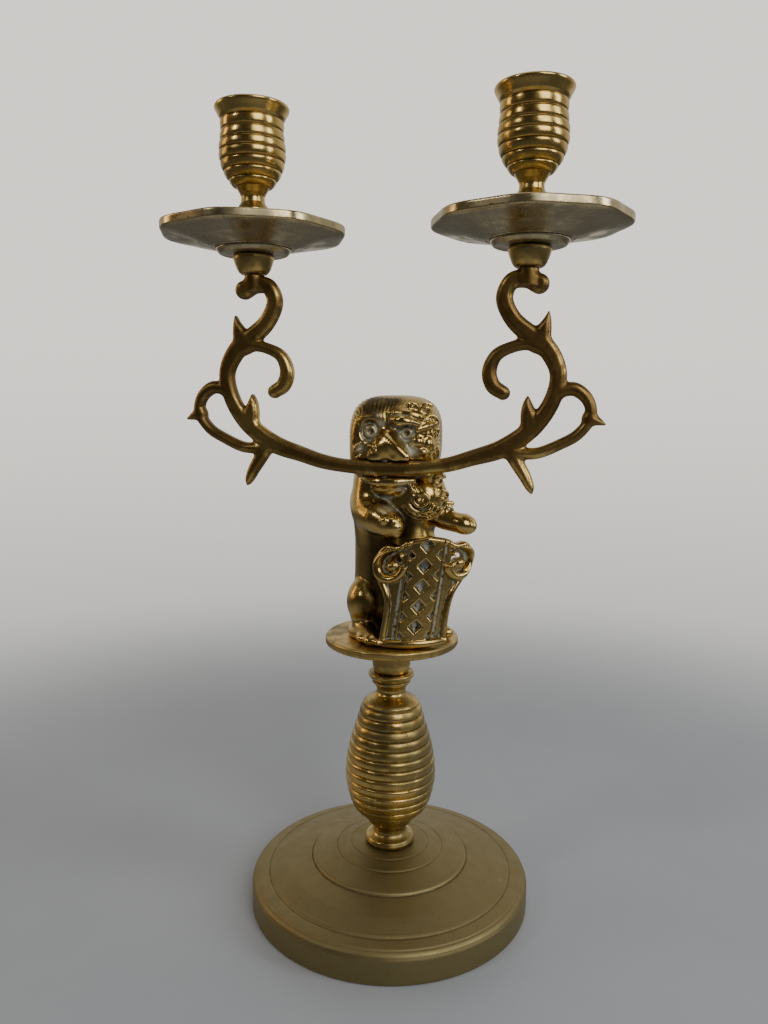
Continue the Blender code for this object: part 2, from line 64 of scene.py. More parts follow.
def mesh_object(name, points, quads, material, triangles=()):
    mesh = bpy.data.meshes.new(name)
    faces = [tuple(face) for face in quads] + [tuple(face) for face in triangles]
    mesh.from_pydata(np.asarray(points, float) * MM, [], faces)
    mesh.validate()
    mesh.shade_smooth()
    mesh.materials.append(material)
    obj = bpy.data.objects.new(name, mesh)
    bpy.context.scene.collection.objects.link(obj)
    return obj


def attribute(mesh, name, values):
    layer = mesh.attributes.get(name) or mesh.attributes.new(name, "FLOAT", "POINT")
    layer.data.foreach_set("value", np.asarray(values, np.float32))


def read(items, name, width, kind=float):
    """A property of every vertex or edge, as rows of `width` numbers."""
    values = np.empty(len(items) * width, kind)
    items.foreach_get(name, values)
    return values.reshape(-1, width)


def mark_relief(obj, reach, rounds=2):
    """Writes "recess" and "edge", from 0 to 1, for hollows and worn edges, by the bend of the surface."""
    mesh = obj.data
    points = read(mesh.vertices, "co", 3) / MM
    normals = read(mesh.vertices, "normal", 3)
    a, b = read(mesh.edges, "vertices", 2, np.int64).T
    step = points[b] - points[a]
    length2 = np.maximum((step**2).sum(1), 1e-6)
    bend, shares = np.zeros(len(points)), np.zeros(len(points))
    np.add.at(bend, a, (normals[a] * step).sum(1) / length2)
    np.add.at(bend, b, -(normals[b] * step).sum(1) / length2)
    np.add.at(shares, a, 1)
    np.add.at(shares, b, 1)
    bend /= np.maximum(shares, 1)
    for _ in range(rounds):
        total = bend.copy()
        np.add.at(total, a, bend[b])
        np.add.at(total, b, bend[a])
        bend = total / (shares + 1)
    attribute(mesh, "recess", np.clip(bend * reach, 0, 1))
    attribute(mesh, "edge", np.clip(-bend * reach, 0, 1))


def smooth_line(knots, steps=8):
    """Catmull-Rom through the knots, which are tuples of any length."""
    knots = np.asarray(knots, float)
    ends = np.vstack([2 * knots[0] - knots[1], knots, 2 * knots[-1] - knots[-2]])
    line = []
    for p0, p1, p2, p3 in zip(ends, ends[1:], ends[2:], ends[3:]):
        for t in np.arange(steps) / steps:
            line.append(0.5 * (2 * p1 + (p2 - p0) * t + (2 * p0 - 5 * p1 + 4 * p2 - p3) * t**2
                               + (3 * p1 - p0 - 3 * p2 + p3) * t**3))
    return np.array(line + [knots[-1]])


def rounded(corners, radius, steps=5):
    """A polyline of (r, z) with its corners rounded off; its two ends stay."""
    corners = floats(*corners)
    line = [corners[0]]
    for before, corner, after in zip(corners, corners[1:], corners[2:]):
        back, ahead = before - corner, after - corner
        reach = min(radius, 0.45 * np.linalg.norm(back), 0.45 * np.linalg.norm(ahead))
        start = corner + back / np.linalg.norm(back) * reach
        end = corner + ahead / np.linalg.norm(ahead) * reach
        for t in np.linspace(0, 1, steps):
            line.append((1 - t) ** 2 * start + 2 * t * (1 - t) * corner + t**2 * end)
    return line + [corners[-1]]


def lathe(name, profile, material, at=(0, 0), steps=192, lobe=None, closed=True):
    """Turned round the vertical at `at`. The (r, z) profile runs down its outer side.
    An open profile is closed by a point on the axis at each end."""
    profile = np.asarray(profile, float)
    angles = np.arange(steps) / steps * 2 * math.pi
    radius = np.repeat(profile[:, 0][:, None], steps, 1)
    if lobe:
        radius = radius + lobe(radius, angles[None, :])
    points = np.stack([radius * np.cos(angles), radius * np.sin(angles),
                       np.repeat(profile[:, 1][:, None], steps, 1)], -1).reshape(-1, 3)
    rows = len(profile)
    i, j = np.meshgrid(np.arange(rows if closed else rows - 1), np.arange(steps), indexing="ij")
    down, turn = (i + 1) % rows, (j + 1) % steps
    quads = np.stack([i * steps + j, down * steps + j, down * steps + turn, i * steps + turn], -1)
    triangles = []
    if not closed:
        top, bottom = len(points), len(points) + 1
        points = np.vstack([points, [0, 0, profile[0, 1]], [0, 0, profile[-1, 1]]])
        last = (rows - 1) * steps
        ring = range(steps)
        triangles = [(top, j, (j + 1) % steps) for j in ring]
        triangles += [(bottom, last + (j + 1) % steps, last + j) for j in ring]
    obj = mesh_object(name, points, quads.reshape(-1, 4), material, triangles)
    obj.location = (at[0] * MM, at[1] * MM, 0)
    return obj


def ridged(knots, count, depth, steps=12, fullness=2.6):
    """A ribbed side along (r, z) knots listed downwards: rounded ridges with sharp grooves between them."""
    line = smooth_line(knots, 10)
    along = np.concatenate([[0], np.cumsum(np.linalg.norm(np.diff(line, axis=0), axis=1))])
    place = np.linspace(0, 1, count * steps + 1)
    side = np.stack([np.interp(place * along[-1], along, line[:, k]) for k in (0, 1)], -1)
    slope = np.gradient(side, axis=0)
    slope /= np.linalg.norm(slope, axis=1)[:, None]
    off_middle = np.abs(2 * ((place * count) % 1.0) - 1)
    off_middle[::steps] = 1
    fall = depth * (1 - (1 - off_middle**fullness) ** 0.5)
    return [tuple(point) for point in side - np.stack([-slope[:, 1], slope[:, 0]], -1) * fall[:, None]]


# ---- sculpting with distance fields

def smooth_min(a, b, blend):
    if blend <= 0:
        return np.minimum(a, b)
    h = np.maximum(blend - np.abs(a - b), 0) / blend
    return np.minimum(a, b) - h * h * blend * 0.25


class Clay:
    """A block of distance values that shapes are added to and cut from. Negative is inside."""

    def __init__(self, low, high, step):
        self.low, self.step = np.asarray(low, float), step
        self.shape = tuple(int(math.ceil((h - l) / step)) + 1 for l, h in zip(low, high))
        self.field = np.full(self.shape, 9.0, np.float32)

    def axes(self, window=None):
        window = window or tuple(slice(0, n) for n in self.shape)
        spans = [(self.low[k] + self.step * np.arange(s.start, s.stop)).astype(np.float32)
                 for k, s in enumerate(window)]
        return np.meshgrid(*spans, indexing="ij", sparse=True)

    def window(self, low, high, margin):
        window = []
        for k in range(3):
            start = max(0, int((low[k] - margin - self.low[k]) / self.step))
            stop = min(self.shape[k], int((high[k] + margin - self.low[k]) / self.step) + 2)
            if stop <= start:
                return None
            window.append(slice(start, stop))
        return tuple(window)

    def apply(self, shape, blend, cut):
        distance, low, high = shape
        window = self.window(low, high, blend + 2.0)
        if window is None:
            return
        values = distance(*self.axes(window)).astype(np.float32)
        there = self.field[window]
        self.field[window] = -smooth_min(-there, values, blend) if cut else smooth_min(there, values, blend)

    def add(self, shape, blend=1.0):
        self.apply(shape, blend, cut=False)

    def cut(self, shape, blend=0.6):
        self.apply(shape, blend, cut=True)


def ball(middle, half, turn=(0, 0, 0)):
    """An ellipsoid, turned by Euler angles in degrees."""
    middle, half = floats(middle, half * np.ones(3))
    matrix = np.array(rotation(turn[2], "Z") @ rotation(turn[1], "Y") @ rotation(turn[0], "X"))

    def distance(x, y, z):
        x, y, z = x - middle[0], y - middle[1], z - middle[2]
        local = [matrix[0, k] * x + matrix[1, k] * y + matrix[2, k] * z for k in range(3)]
        k0 = np.sqrt(sum((local[k] / half[k]) ** 2 for k in range(3)))
        k1 = np.sqrt(sum((local[k] / half[k] ** 2) ** 2 for k in range(3)))
        return k0 * (k0 - 1) / np.maximum(k1, 1e-6)

    reach = np.ones(3) * half.max()
    return distance, middle - reach, middle + reach


def block(middle, half, power=3.2):
    """A box with swelling sides and very round corners."""
    middle, half = floats(middle, half)

    def distance(x, y, z):
        total = (np.abs((x - middle[0]) / half[0]) ** power + np.abs((y - middle[1]) / half[1]) ** power
                 + np.abs((z - middle[2]) / half[2]) ** power)
        return (total ** (1 / power) - 1) * half.min()

    return distance, middle - half, middle + half


def rope(knots, steps=6):
    """A round bar along (x, y, z, radius) knots, smooth and tapered."""
    line = smooth_line(knots, steps)
    radius = line[:, 3].max()

    def distance(x, y, z):
        best = None
        for a, b in zip(line, line[1:]):
            along = b[:3] - a[:3]
            length2 = max(float(along @ along), 1e-9)
            t = (x - a[0]) * along[0] + (y - a[1]) * along[1] + (z - a[2]) * along[2]
            t = np.clip(t / length2, 0, 1)
            d = np.sqrt((x - a[0] - t * along[0]) ** 2 + (y - a[1] - t * along[1]) ** 2
                        + (z - a[2] - t * along[2]) ** 2) - (a[3] + t * (b[3] - a[3]))
            best = d if best is None else np.minimum(best, d)
        return best

    return distance, line[:, :3].min(0) - radius, line[:, :3].max(0) + radius


def slab(low, high):
    """A plain box."""
    low, high = floats(low, high)
    middle, half = (low + high) / 2, (high - low) / 2

    def distance(x, y, z):
        return np.maximum(np.maximum(np.abs(x - middle[0]) - half[0], np.abs(y - middle[1]) - half[1]),
                          np.abs(z - middle[2]) - half[2])

    return distance, low, high


def skin_of(clay):
    """The clay's surface, as points and quads: one point in each cell that the surface passes through."""
    field = clay.field
    inside = field < 0
    n = field.shape
    corners = [(i, j, k) for i in (0, 1) for j in (0, 1) for k in (0, 1)]
    count = sum(inside[i:n[0] - 1 + i, j:n[1] - 1 + j, k:n[2] - 1 + k].astype(np.uint8)
                for i, j, k in corners)
    cells = np.argwhere((count > 0) & (count < 8))
    number = np.full(tuple(m - 1 for m in n), -1, np.int64)
    number[tuple(cells.T)] = np.arange(len(cells))
    value = {c: field[tuple((cells + c).T)] for c in corners}
    total = np.zeros((len(cells), 3))
    crossings = np.zeros(len(cells))
    for a in corners:
        for axis in range(3):
            if a[axis]:
                continue
            b = tuple(a[m] + (m == axis) for m in range(3))
            crossed = (value[a] < 0) != (value[b] < 0)
            t = value[a] / np.where(crossed, value[a] - value[b], 1)
            for m in range(3):
                total[:, m] += np.where(crossed, a[m] + (t if m == axis else 0), 0)
            crossings += crossed
    points = clay.low + (cells + total / crossings[:, None]) * clay.step
    quads = []
    for axis in range(3):
        one, two = (axis + 1) % 3, (axis + 2) % 3
        first = [slice(1, n[m] - 1) for m in range(3)]
        second = list(first)
        first[axis], second[axis] = slice(0, n[axis] - 1), slice(1, n[axis])
        low_in, high_in = inside[tuple(first)], inside[tuple(second)]
        for flips, place in ((False, low_in & ~high_in), (True, ~low_in & high_in)):
            edge = np.argwhere(place)
            edge[:, one] += 1
            edge[:, two] += 1
            around = []
            for da, db in ((1, 1), (0, 1), (0, 0), (1, 0)):
                cell = edge.copy()
                cell[:, one] -= da
                cell[:, two] -= db
                around.append(number[tuple(cell.T)])
            quad = np.stack(around, -1)
            quads.append(quad[:, ::-1] if flips else quad)
    return points, np.vstack(quads)


def box_blur(volume, cells):
    """The mean of each value's neighbours, this many cells each way."""
    for axis in range(3):
        pad = [(0, 0)] * 3
        pad[axis] = (cells + 1, cells)
        total = np.cumsum(np.pad(volume, pad, mode="edge"), axis=axis, dtype=np.float32)
        size = volume.shape[axis]
        high = np.take(total, np.arange(2 * cells + 1, 2 * cells + 1 + size), axis=axis)
        low = np.take(total, np.arange(0, size), axis=axis)
        volume = (high - low) / (2 * cells + 1)
    return volume


def sculpted(name, clay, material, reach=1.6, bend=None, hollows=None):
    """An object from the clay. "recess" and "edge" come from how much metal is round each point."""
    points, quads = skin_of(clay)
    filled = (clay.field < 0).astype(np.float32)
    place = ((points - clay.low) / clay.step).round().astype(int)
    place = tuple(np.clip(place, 0, np.array(clay.shape) - 1).T)
    near = box_blur(filled, max(1, round(reach / clay.step)))[place]
    wide = box_blur(filled, max(2, round(2.4 * reach / clay.step)))[place]
    recess = np.clip((near - 0.5) * 3.2 + np.clip(wide - 0.55, 0, 1) * 1.5, 0, 1)
    if hollows:
        recess = np.maximum(recess, hollows(points))
    if bend:
        points = bend(points)
    obj = mesh_object(name, points, quads, material)
    attribute(obj.data, "recess", recess)
    attribute(obj.data, "edge", np.clip((0.5 - near) * 3.0, 0, 1))
    return obj


# ---- materials

class Nodes:
    """Short ways to add shader nodes to a tree."""

    def __init__(self, tree, coordinates="Object"):
        self.tree = tree
        self.place = self.add("TexCoord").outputs[coordinates]

    def put(self, socket, value):
        if isinstance(value, bpy.types.NodeSocket):
            self.tree.links.new(value, socket)
        else:
            socket.default_value = value

    def add(self, kind, settings=None, **inputs):
        node = self.tree.nodes.new("ShaderNode" + kind)
        for name, value in (settings or {}).items():
            setattr(node, name, value)
        for name, value in inputs.items():
            self.put(node.inputs[name], value)
        return node

    def math(self, operation, a, b=0):
        node = self.add("Math", {"operation": operation})
        self.put(node.inputs[0], a)
        self.put(node.inputs[1], b)
        return node.outputs[0]

    def times(self, a, b):
        return self.math("MULTIPLY", a, b)

    def plus(self, a, b):
        return self.math("ADD", a, b)

    def noise(self, size, detail=3, rough=0.55, place=None, offset=0):
        """Noise with features about `size` mm across."""
        node = self.add("TexNoise", {"noise_dimensions": "4D"}, Vector=place or self.place, W=offset,
                        Scale=1 / (size * MM), Detail=detail, Roughness=rough)
        return node.outputs["Fac"]

    def ramp(self, value, low, high, to_low=0, to_high=1):
        node = self.add("MapRange", {"interpolation_type": "SMOOTHSTEP"})
        for socket, number in zip(node.inputs[:5], (value, low, high, to_low, to_high)):
            self.put(socket, number)
        return node.outputs[0]

    def mix(self, share, a, b):
        node = self.add("Mix", {"data_type": "RGBA"}, Factor=share)
        self.put(node.inputs[6], a)
        self.put(node.inputs[7], b)
        return node.outputs[2]

    def axes(self):
        return self.add("SeparateXYZ", Vector=self.place).outputs


class Paint(Nodes):
    """A Principled material."""

    def __init__(self, name):
        self.material = bpy.data.materials.new(name)
        self.material.use_nodes = True
        super().__init__(self.material.node_tree)
        self.shader = self.tree.nodes["Principled BSDF"]

    def shade(self, name, value):
        self.put(self.shader.inputs[name], value)

    def attribute(self, name):
        return self.add("Attribute", {"attribute_name": name}).outputs["Fac"]

    def bump(self, height, depth, strength=1, below=None):
        """Bump `depth` mm high between values 0 and 1 of `height`."""
        node = self.add("Bump", Strength=strength, Distance=depth * MM, Height=height)
        if below:
            self.put(node.inputs["Normal"], below)
        return node.outputs["Normal"]

    def rings(self):
        """Coordinates that change across the marks a lathe leaves, and little along them."""
        x, y, z = self.axes()
        radius = self.math("SQRT", self.plus(self.times(x, x), self.times(y, y)))
        return self.add("CombineXYZ", X=radius, Y=self.times(x, 0.03), Z=z).outputs[0]


def rgb(red, green, blue):
    return red, green, blue, 1


GOLD = rgb(0.62, 0.43, 0.14)
BRIGHT = rgb(0.74, 0.55, 0.24)
OLIVE = rgb(0.32, 0.245, 0.095)
BROWN = rgb(0.22, 0.135, 0.045)
BASE_DARK = rgb(0.29, 0.235, 0.11)
PAN_GOLD = rgb(0.68, 0.55, 0.30)
PAN_DARK = rgb(0.46, 0.395, 0.24)
# The dark of dirt in the hollows, and also of painted shade in the lion's crevices and on its shaded sides.
DIRT_AND_SHADE_DARK = rgb(0.035, 0.026, 0.014)
CHALK = rgb(0.50, 0.52, 0.44)
STEEL = rgb(0.36, 0.35, 0.33)
RUST = rgb(0.16, 0.09, 0.045)


def brass(name, tarnish, polish, turned=0, cast=0, residue=0.3, dark=OLIVE, gold=GOLD, wear=0.6):
    """Old brass: dull skin in patches, dirt and polish residue in the hollows, soot and painted shade where
    the lion's dark spots lie, worn bright edges.
    """
    paint = Paint(name)
    times, plus, ramp = paint.times, paint.plus, paint.ramp
    mottle = paint.noise(6, 5, 0.62, offset=3)
    patches = plus(times(paint.noise(34, 4, 0.6), 0.6), times(mottle, 0.4))
    skin = ramp(patches, 0.62 - 0.3 * tarnish, 0.80 - 0.42 * tarnish)
    colour = paint.mix(skin, gold, dark)
    freckles = ramp(paint.noise(2.2, 4, 0.7, offset=11), 0.56, 0.72)
    colour = paint.mix(times(freckles, 0.45), colour, BROWN)

    recess = paint.attribute("recess")
    # Dark spots on the lion: soot, and painted shade in its crevices and on its shaded sides.
    soot_and_shade = times(paint.attribute("soot_and_painted_shade"), ramp(mottle, 0.15, 0.5, 0.5, 1))
    dirt_and_shade = paint.math("MAXIMUM", ramp(plus(recess, times(mottle, 0.25)), 0.22, 0.75), soot_and_shade)
    # The hollows' dirt and the painted shade both darken the colour here.
    colour = paint.mix(times(dirt_and_shade, 0.88), colour, DIRT_AND_SHADE_DARK)

    # Polish residue dries to a whitish crust in the hollows, but not over the dark spots of soot and painted
    # shade.
    speckle = ramp(paint.noise(1.6, 4, 0.65, offset=19), 0.60 - 0.25 * residue, 0.74 - 0.25 * residue)
    crust = times(times(ramp(recess, 0.3, 0.7), speckle), min(1, residue * 1.6))
    crust = paint.math("MAXIMUM", crust, times(paint.attribute("chalk"), ramp(mottle, 0.2, 0.55, 0.3, 0.9)))
    crust = times(crust, paint.math("SUBTRACT", 1, times(soot_and_shade, 0.85)))
    colour = paint.mix(crust, colour, CHALK)

    worn = times(ramp(paint.attribute("edge"), 0.12, 0.7), wear)
    paint.shade("Base Color", paint.mix(worn, colour, BRIGHT))
    paint.shade("Metallic", ramp(crust, 0, 1, 1, 0.1))
    dull = plus(ramp(skin, 0, 1, polish, polish + 0.10), ramp(mottle, 0.3, 0.7, -0.05, 0.07))
    dull = plus(dull, times(plus(dirt_and_shade, crust), 0.22))
    dull = paint.math("SUBTRACT", dull, times(worn, 0.06))
    paint.shade("Roughness", paint.math("MINIMUM", dull, 0.9))
    paint.shade("Normal", brass_grain(paint, turned, cast))
    return name, paint.material


def brass_grain(paint, turned, cast):
    """Fine grain, with lathe lines as far as it is turned, and lumps and pits as far as it is cast."""
    normal = paint.bump(paint.noise(0.9, 3, 0.6, offset=7), 0.02, 0.5)
    if turned:
        lines = paint.noise(0.55, 3, 0.7, paint.rings(), offset=23)
        normal = paint.bump(lines, 0.035, turned, normal)
    if cast:
        normal = paint.bump(paint.noise(2.6, 4, 0.6, offset=29), 0.22, cast, normal)
        pits = paint.ramp(paint.noise(0.8, 2, 0.5, offset=31), 0.62, 0.75, 1, 0)
        normal = paint.bump(pits, 0.06, cast * 0.7, normal)
    return normal


def steel(name):
    paint = Paint(name)
    spots = paint.ramp(paint.noise(2, 4, 0.65), 0.5, 0.72)
    paint.shade("Base Color", paint.mix(spots, STEEL, RUST))
    paint.shade("Metallic", 1)
    paint.shade("Roughness", paint.ramp(spots, 0, 1, 0.34, 0.62))
    paint.shade("Normal", paint.bump(paint.noise(0.7, 3, 0.6), 0.03, 0.6))
    return name, paint.material


def floor_paint(clear_r, faded_r):
    """A pale floor that fades out from clear_r to faded_r metres."""
    paint = Paint("pale_floor")
    length = paint.add("VectorMath", {"operation": "LENGTH"})
    paint.put(length.inputs[0], paint.place)
    mottled = paint.ramp(paint.noise(60, 3, 0.5), 0.3, 0.7)
    paint.shade("Base Color", paint.mix(mottled, rgb(0.44, 0.472, 0.52), rgb(0.46, 0.49, 0.536)))
    paint.shade("Roughness", 0.55)
    paint.shade("Alpha", paint.ramp(length.outputs["Value"], clear_r, faded_r, 1, 0))
    return paint.material


paints = dict([
    brass("base_brass", 1, 0.40, turned=0.5, residue=0.6, dark=BASE_DARK, wear=0.3),
    brass("platform_brass", 0.55, 0.34, turned=0.4, residue=0.4),
    brass("stem_brass", 0.55, 0.26, turned=0.5),
    brass("lion_brass", 0.3, 0.19, cast=0.5, residue=0.9),
    brass("branch_brass", 0.7, 0.30, cast=0.2, residue=0.25, dark=BROWN, wear=0.2),
    brass("pan_brass", 0.6, 0.22, turned=0.45, dark=PAN_DARK, gold=PAN_GOLD),
    brass("cup_brass", 0.4, 0.22, turned=0.5, residue=0.2),
    steel("old_steel"),
])


def finish_piece(obj, body, node):
    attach(obj, body)
    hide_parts(node)


# ---- turned pieces

def dense(profile, spacing=0.3, loop=True):
    """The same profile with a point about every `spacing` mm."""
    profile = floats(*profile)
    line = []
    ends = profile[1:] + profile[:1] if loop else profile[1:]
    for a, b in zip(profile, ends):
        count = max(1, round(float(np.linalg.norm(b - a)) / spacing))
        line += [a + (b - a) * k / count for k in range(count)]
    return np.array(line if loop else line + [profile[-1]])


def engraved(profile, marks):
    """Lines cut into a dense profile. A mark is (r, z, width, depth). A negative depth is a raised line."""
    profile = np.array(profile, float)
    ahead, behind = np.roll(profile, -1, 0), np.roll(profile, 1, 0)
    along = ahead - behind
    along /= np.maximum(np.linalg.norm(along, axis=1), 1e-9)[:, None]
    outward = np.stack([-along[:, 1], along[:, 0]], -1)
    moved = profile.copy()
    for r, z, width, depth in marks:
        away2 = ((profile - (r, z)) ** 2).sum(1)
        moved -= outward * (depth * np.exp(-away2 / (width / 2) ** 2))[:, None]
    return moved


def turned_piece(name, node, body, slot, outline, marks=(), relief=1.2, paint=None, spacing=0.3,
                 closed=True, **shape):
    """A lathe-turned piece from its (r, z) outline, with its engraved marks."""
    profile = engraved(dense(outline, spacing, closed), marks)
    obj = lathe(name, profile, paints[paint or slot], closed=closed, **shape)
    mark_relief(obj, relief)
    finish_piece(obj, body, node)


ROD_HOLE_R = 3.2
BASE_TOP = [(13, 25.2), (16.4, 25), (23, 23.2), (33, 20.4), (34.2, 19.4), (44, 17.2), (52.4, 14.3),
            (57.6, 13.2), (59.2, 12), (60, 10.4), (60, 0.8), (59.4, 0)]
BASE_HOLLOW = [(56.6, 0), (56.6, 9.4), (52, 11.4), (31, 16.6), (13, 19.6), (ROD_HOLE_R, 19.6),
               (ROD_HOLE_R, 25.2)]
BASE_MARKS = [(52.6, 14.25, 0.9, 0.35), (51.2, 14.7, 0.5, -0.12), (34, 19.6, 0.8, 0.45),
              (23, 23.2, 0.8, 0.35), (16.8, 24.95, 0.8, 0.35), (57.9, 13.1, 0.7, 0.28), (59.9, 11, 0.6, 0.12)]


def make_base():
    outline = rounded(BASE_TOP + BASE_HOLLOW + [BASE_TOP[0]], 0.7)[:-1]
    turned_piece("base_dome", "base", "stand", "base_brass", outline, BASE_MARKS, 1.6, steps=288)


KNOP_LOW, KNOP_TOP = 25.5, 102
KNOP_RING = [(7.6, KNOP_TOP), (9.6, 101.8), (9.9, 101.2), (9.7, 100.4), (8.9, 99.2), (8, 98.6), (8.2, 98),
             (8.2, 97.4), (7.4, 96.6), (6.3, 95.2), (6.1, 93.9), (6.4, 92.7), (7.6, 91.5), (9.6, 90.6),
             (11.2, 89.6), (12.1, 88.5)]
BEEHIVE = [(12.5, 87.8), (13.6, 84.7), (14.7, 80.6), (16.8, 73.9), (18.7, 65.7), (19.5, 57.4), (19, 51.9),
           (17.7, 46.3), (15.6, 41.8), (12, 38.2)]
BEEHIVE_RIBS, BEEHIVE_RIB_DEPTH = 13, 0.75
KNOP_FOOT = [(9.4, 34.8), (7.4, 32.6), (7, 31.2), (7.4, 29.8), (8.5, 28.8), (10.2, 28.3), (10.8, 27),
             (10.6, 26), (10.2, KNOP_LOW)]
KNOP_MARKS = [(12.3, 88.1, 0.7, 0.3), (10.8, 27.4, 0.5, 0.2)]


def make_knop():
    side = ridged(BEEHIVE, BEEHIVE_RIBS, BEEHIVE_RIB_DEPTH)
    outline = (rounded(KNOP_RING, 0.8) + side + rounded(KNOP_FOOT, 0.6)
               + [(ROD_HOLE_R, KNOP_LOW), (ROD_HOLE_R, KNOP_TOP)])
    turned_piece("beehive_stem", "stem_knop", "stand", "stem_brass", outline, KNOP_MARKS, 1.1, steps=224)


NECK_LOW, NECK_TOP = 102.3, 114.4
NECK = [(8.9, NECK_TOP), (9, 113.6), (8.8, 112.8), (8.1, 112), (7.9, 108.6), (8.1, 105.2), (7.5, NECK_LOW)]


def make_neck():
    outline = rounded(NECK, 0.5) + [(ROD_HOLE_R, NECK_LOW), (ROD_HOLE_R, NECK_TOP)]
    turned_piece("collar_under_platform", "neck_collar", "stand", "stem_brass", outline, steps=160)


PLATFORM_R, PLATFORM_LOW, PLATFORM_TOP = 28.1, 114.7, 118.5
PLATFORM = [(ROD_HOLE_R, PLATFORM_TOP), (27, PLATFORM_TOP), (PLATFORM_R, 117.9), (PLATFORM_R, 115.4),
            (27.2, PLATFORM_LOW), (ROD_HOLE_R, PLATFORM_LOW), (ROD_HOLE_R, PLATFORM_TOP)]
PLATFORM_MARKS = [(25.6, PLATFORM_TOP, 0.6, 0.16), (24, PLATFORM_LOW, 0.8, 0.2), (12, PLATFORM_LOW, 0.8, 0.2)]


def make_platform():
    outline = rounded(PLATFORM, 0.9)[:-1]
    turned_piece("round_platform", "platform", "stand", "platform_brass", outline, PLATFORM_MARKS, 1.3,
                 steps=256)


STUD_HOLE_R, STUD_HOLE_LOW, STUD_TOP = 2.2, 260.1, 286.1
BOSS_LOW, BOSS_TOP = 265.5, 272.7
BOSS = [(7.7, BOSS_TOP), (8.1, 272.1), (8, 271.2), (7.4, 269.4), (6.6, 267.4), (5.9, 266.2), (5, BOSS_LOW)]
PAN_RIM_R, PAN_LOW = 36, 273
PAN_RIM = [(35, 283.2), (35.7, 283.2), (PAN_RIM_R, 282.6), (PAN_RIM_R, 280.3), (35.6, 279.8)]
PAN_UNDER = [(34.2, 279.4), (30, 278.7), (25, 277.8), (19.6, 276.4), (16.2, 275.4), (14.7, 275.1),
             (14.6, 274.4), (13.4, PAN_LOW)]
PAN_DISH = [(STUD_HOLE_R, PAN_LOW), (STUD_HOLE_R, 274.6), (13.2, 274.6), (16.6, 276.9), (24.6, 279.2),
            (34.2, 281.1)]
PAN_MARKS = [(15.8, 275.3, 0.7, 0.22), (14.2, 275.4, 0.7, 0.2), (33.4, 281, 0.6, 0.2)]
PAN_LOBES, PAN_LOBE_HEIGHT, PAN_LOBE_START = 8, 0.7, 14.6
CUP_LOW, CUP_TOP, CUP_BORE_R, CUP_MIDDLE_R = 274.9, 328.1, 10.9, 0.4
CUP_SOCKET = [(CUP_MIDDLE_R, 306.1), (9.4, 306.1), (CUP_BORE_R, 307.6), (CUP_BORE_R, 322), (11.6, 325),
              (13.2, CUP_TOP)]
CUP_LIP = [(14.1, CUP_TOP), (14.5, 327.5), (14.3, 326.8), (13.4, 325.2), (12.7, 323.8)]
CUP_BODY = [(12.4, 322.8), (12.3, 318.5), (13, 312), (12.6, 307.5), (11, 303), (8.2, 299), (7, 298)]
CUP_RIBS, CUP_RIB_DEPTH = 7, 0.6
CUP_FOOT = [(5.3, 296.2), (4.5, 294.6), (4.7, 292.6), (5.9, 290.8), (6.5, 289.4), (5.9, 288), (4.9, 285.6),
            (5, 282.6), (5.6, 280.2), (7.2, 277.8), (8.9, 276.4), (9.2, 275.6), (9.1, CUP_LOW)]
CUP_MARKS = [(13.3, 326.1, 0.5, 0.12), (6.5, 289.4, 0.5, 0.15)]


def pan_lobe(radius, angles):
    fade = np.clip((radius - PAN_LOBE_START) / (PAN_RIM_R - PAN_LOBE_START), 0, 1)
    return PAN_LOBE_HEIGHT * fade * fade * (3 - 2 * fade) * np.cos(PAN_LOBES * angles)


def make_arm_end(side):
    middle = centre_of(side + "_boss")
    at = (middle.x, middle.y)
    outline = rounded(BOSS, 0.5) + [(STUD_HOLE_R, BOSS_LOW), (STUD_HOLE_R, BOSS_TOP)]
    turned_piece(side + "_arm_socket", side + "_boss", "stand", "branch_brass", outline, paint="stem_brass",
                 at=at, steps=128)

    outline = rounded(PAN_RIM + PAN_UNDER + PAN_DISH + [PAN_RIM[0]], 0.5)[:-1]
    turned_piece(side + "_drip_pan", side + "_pan", side + "_pan", "pan_brass", outline, PAN_MARKS, 1.3,
                 at=at, steps=288, lobe=pan_lobe)

    ribs = ridged(CUP_BODY, CUP_RIBS, CUP_RIB_DEPTH)
    outline = (rounded(CUP_SOCKET, 0.8) + rounded(CUP_LIP, 0.5) + ribs + rounded(CUP_FOOT, 0.5)
               + [(STUD_HOLE_R, CUP_LOW), (STUD_HOLE_R, STUD_TOP), (CUP_MIDDLE_R, STUD_TOP)])
    turned_piece(side + "_candle_cup", side + "_cup", side + "_cup", "cup_brass", outline, CUP_MARKS, 1.1,
                 spacing=0.28, closed=False, at=at)


make_base()
make_knop()
make_neck()
make_platform()
for side in ("left", "right"):
    make_arm_end(side)


# ---- the branch

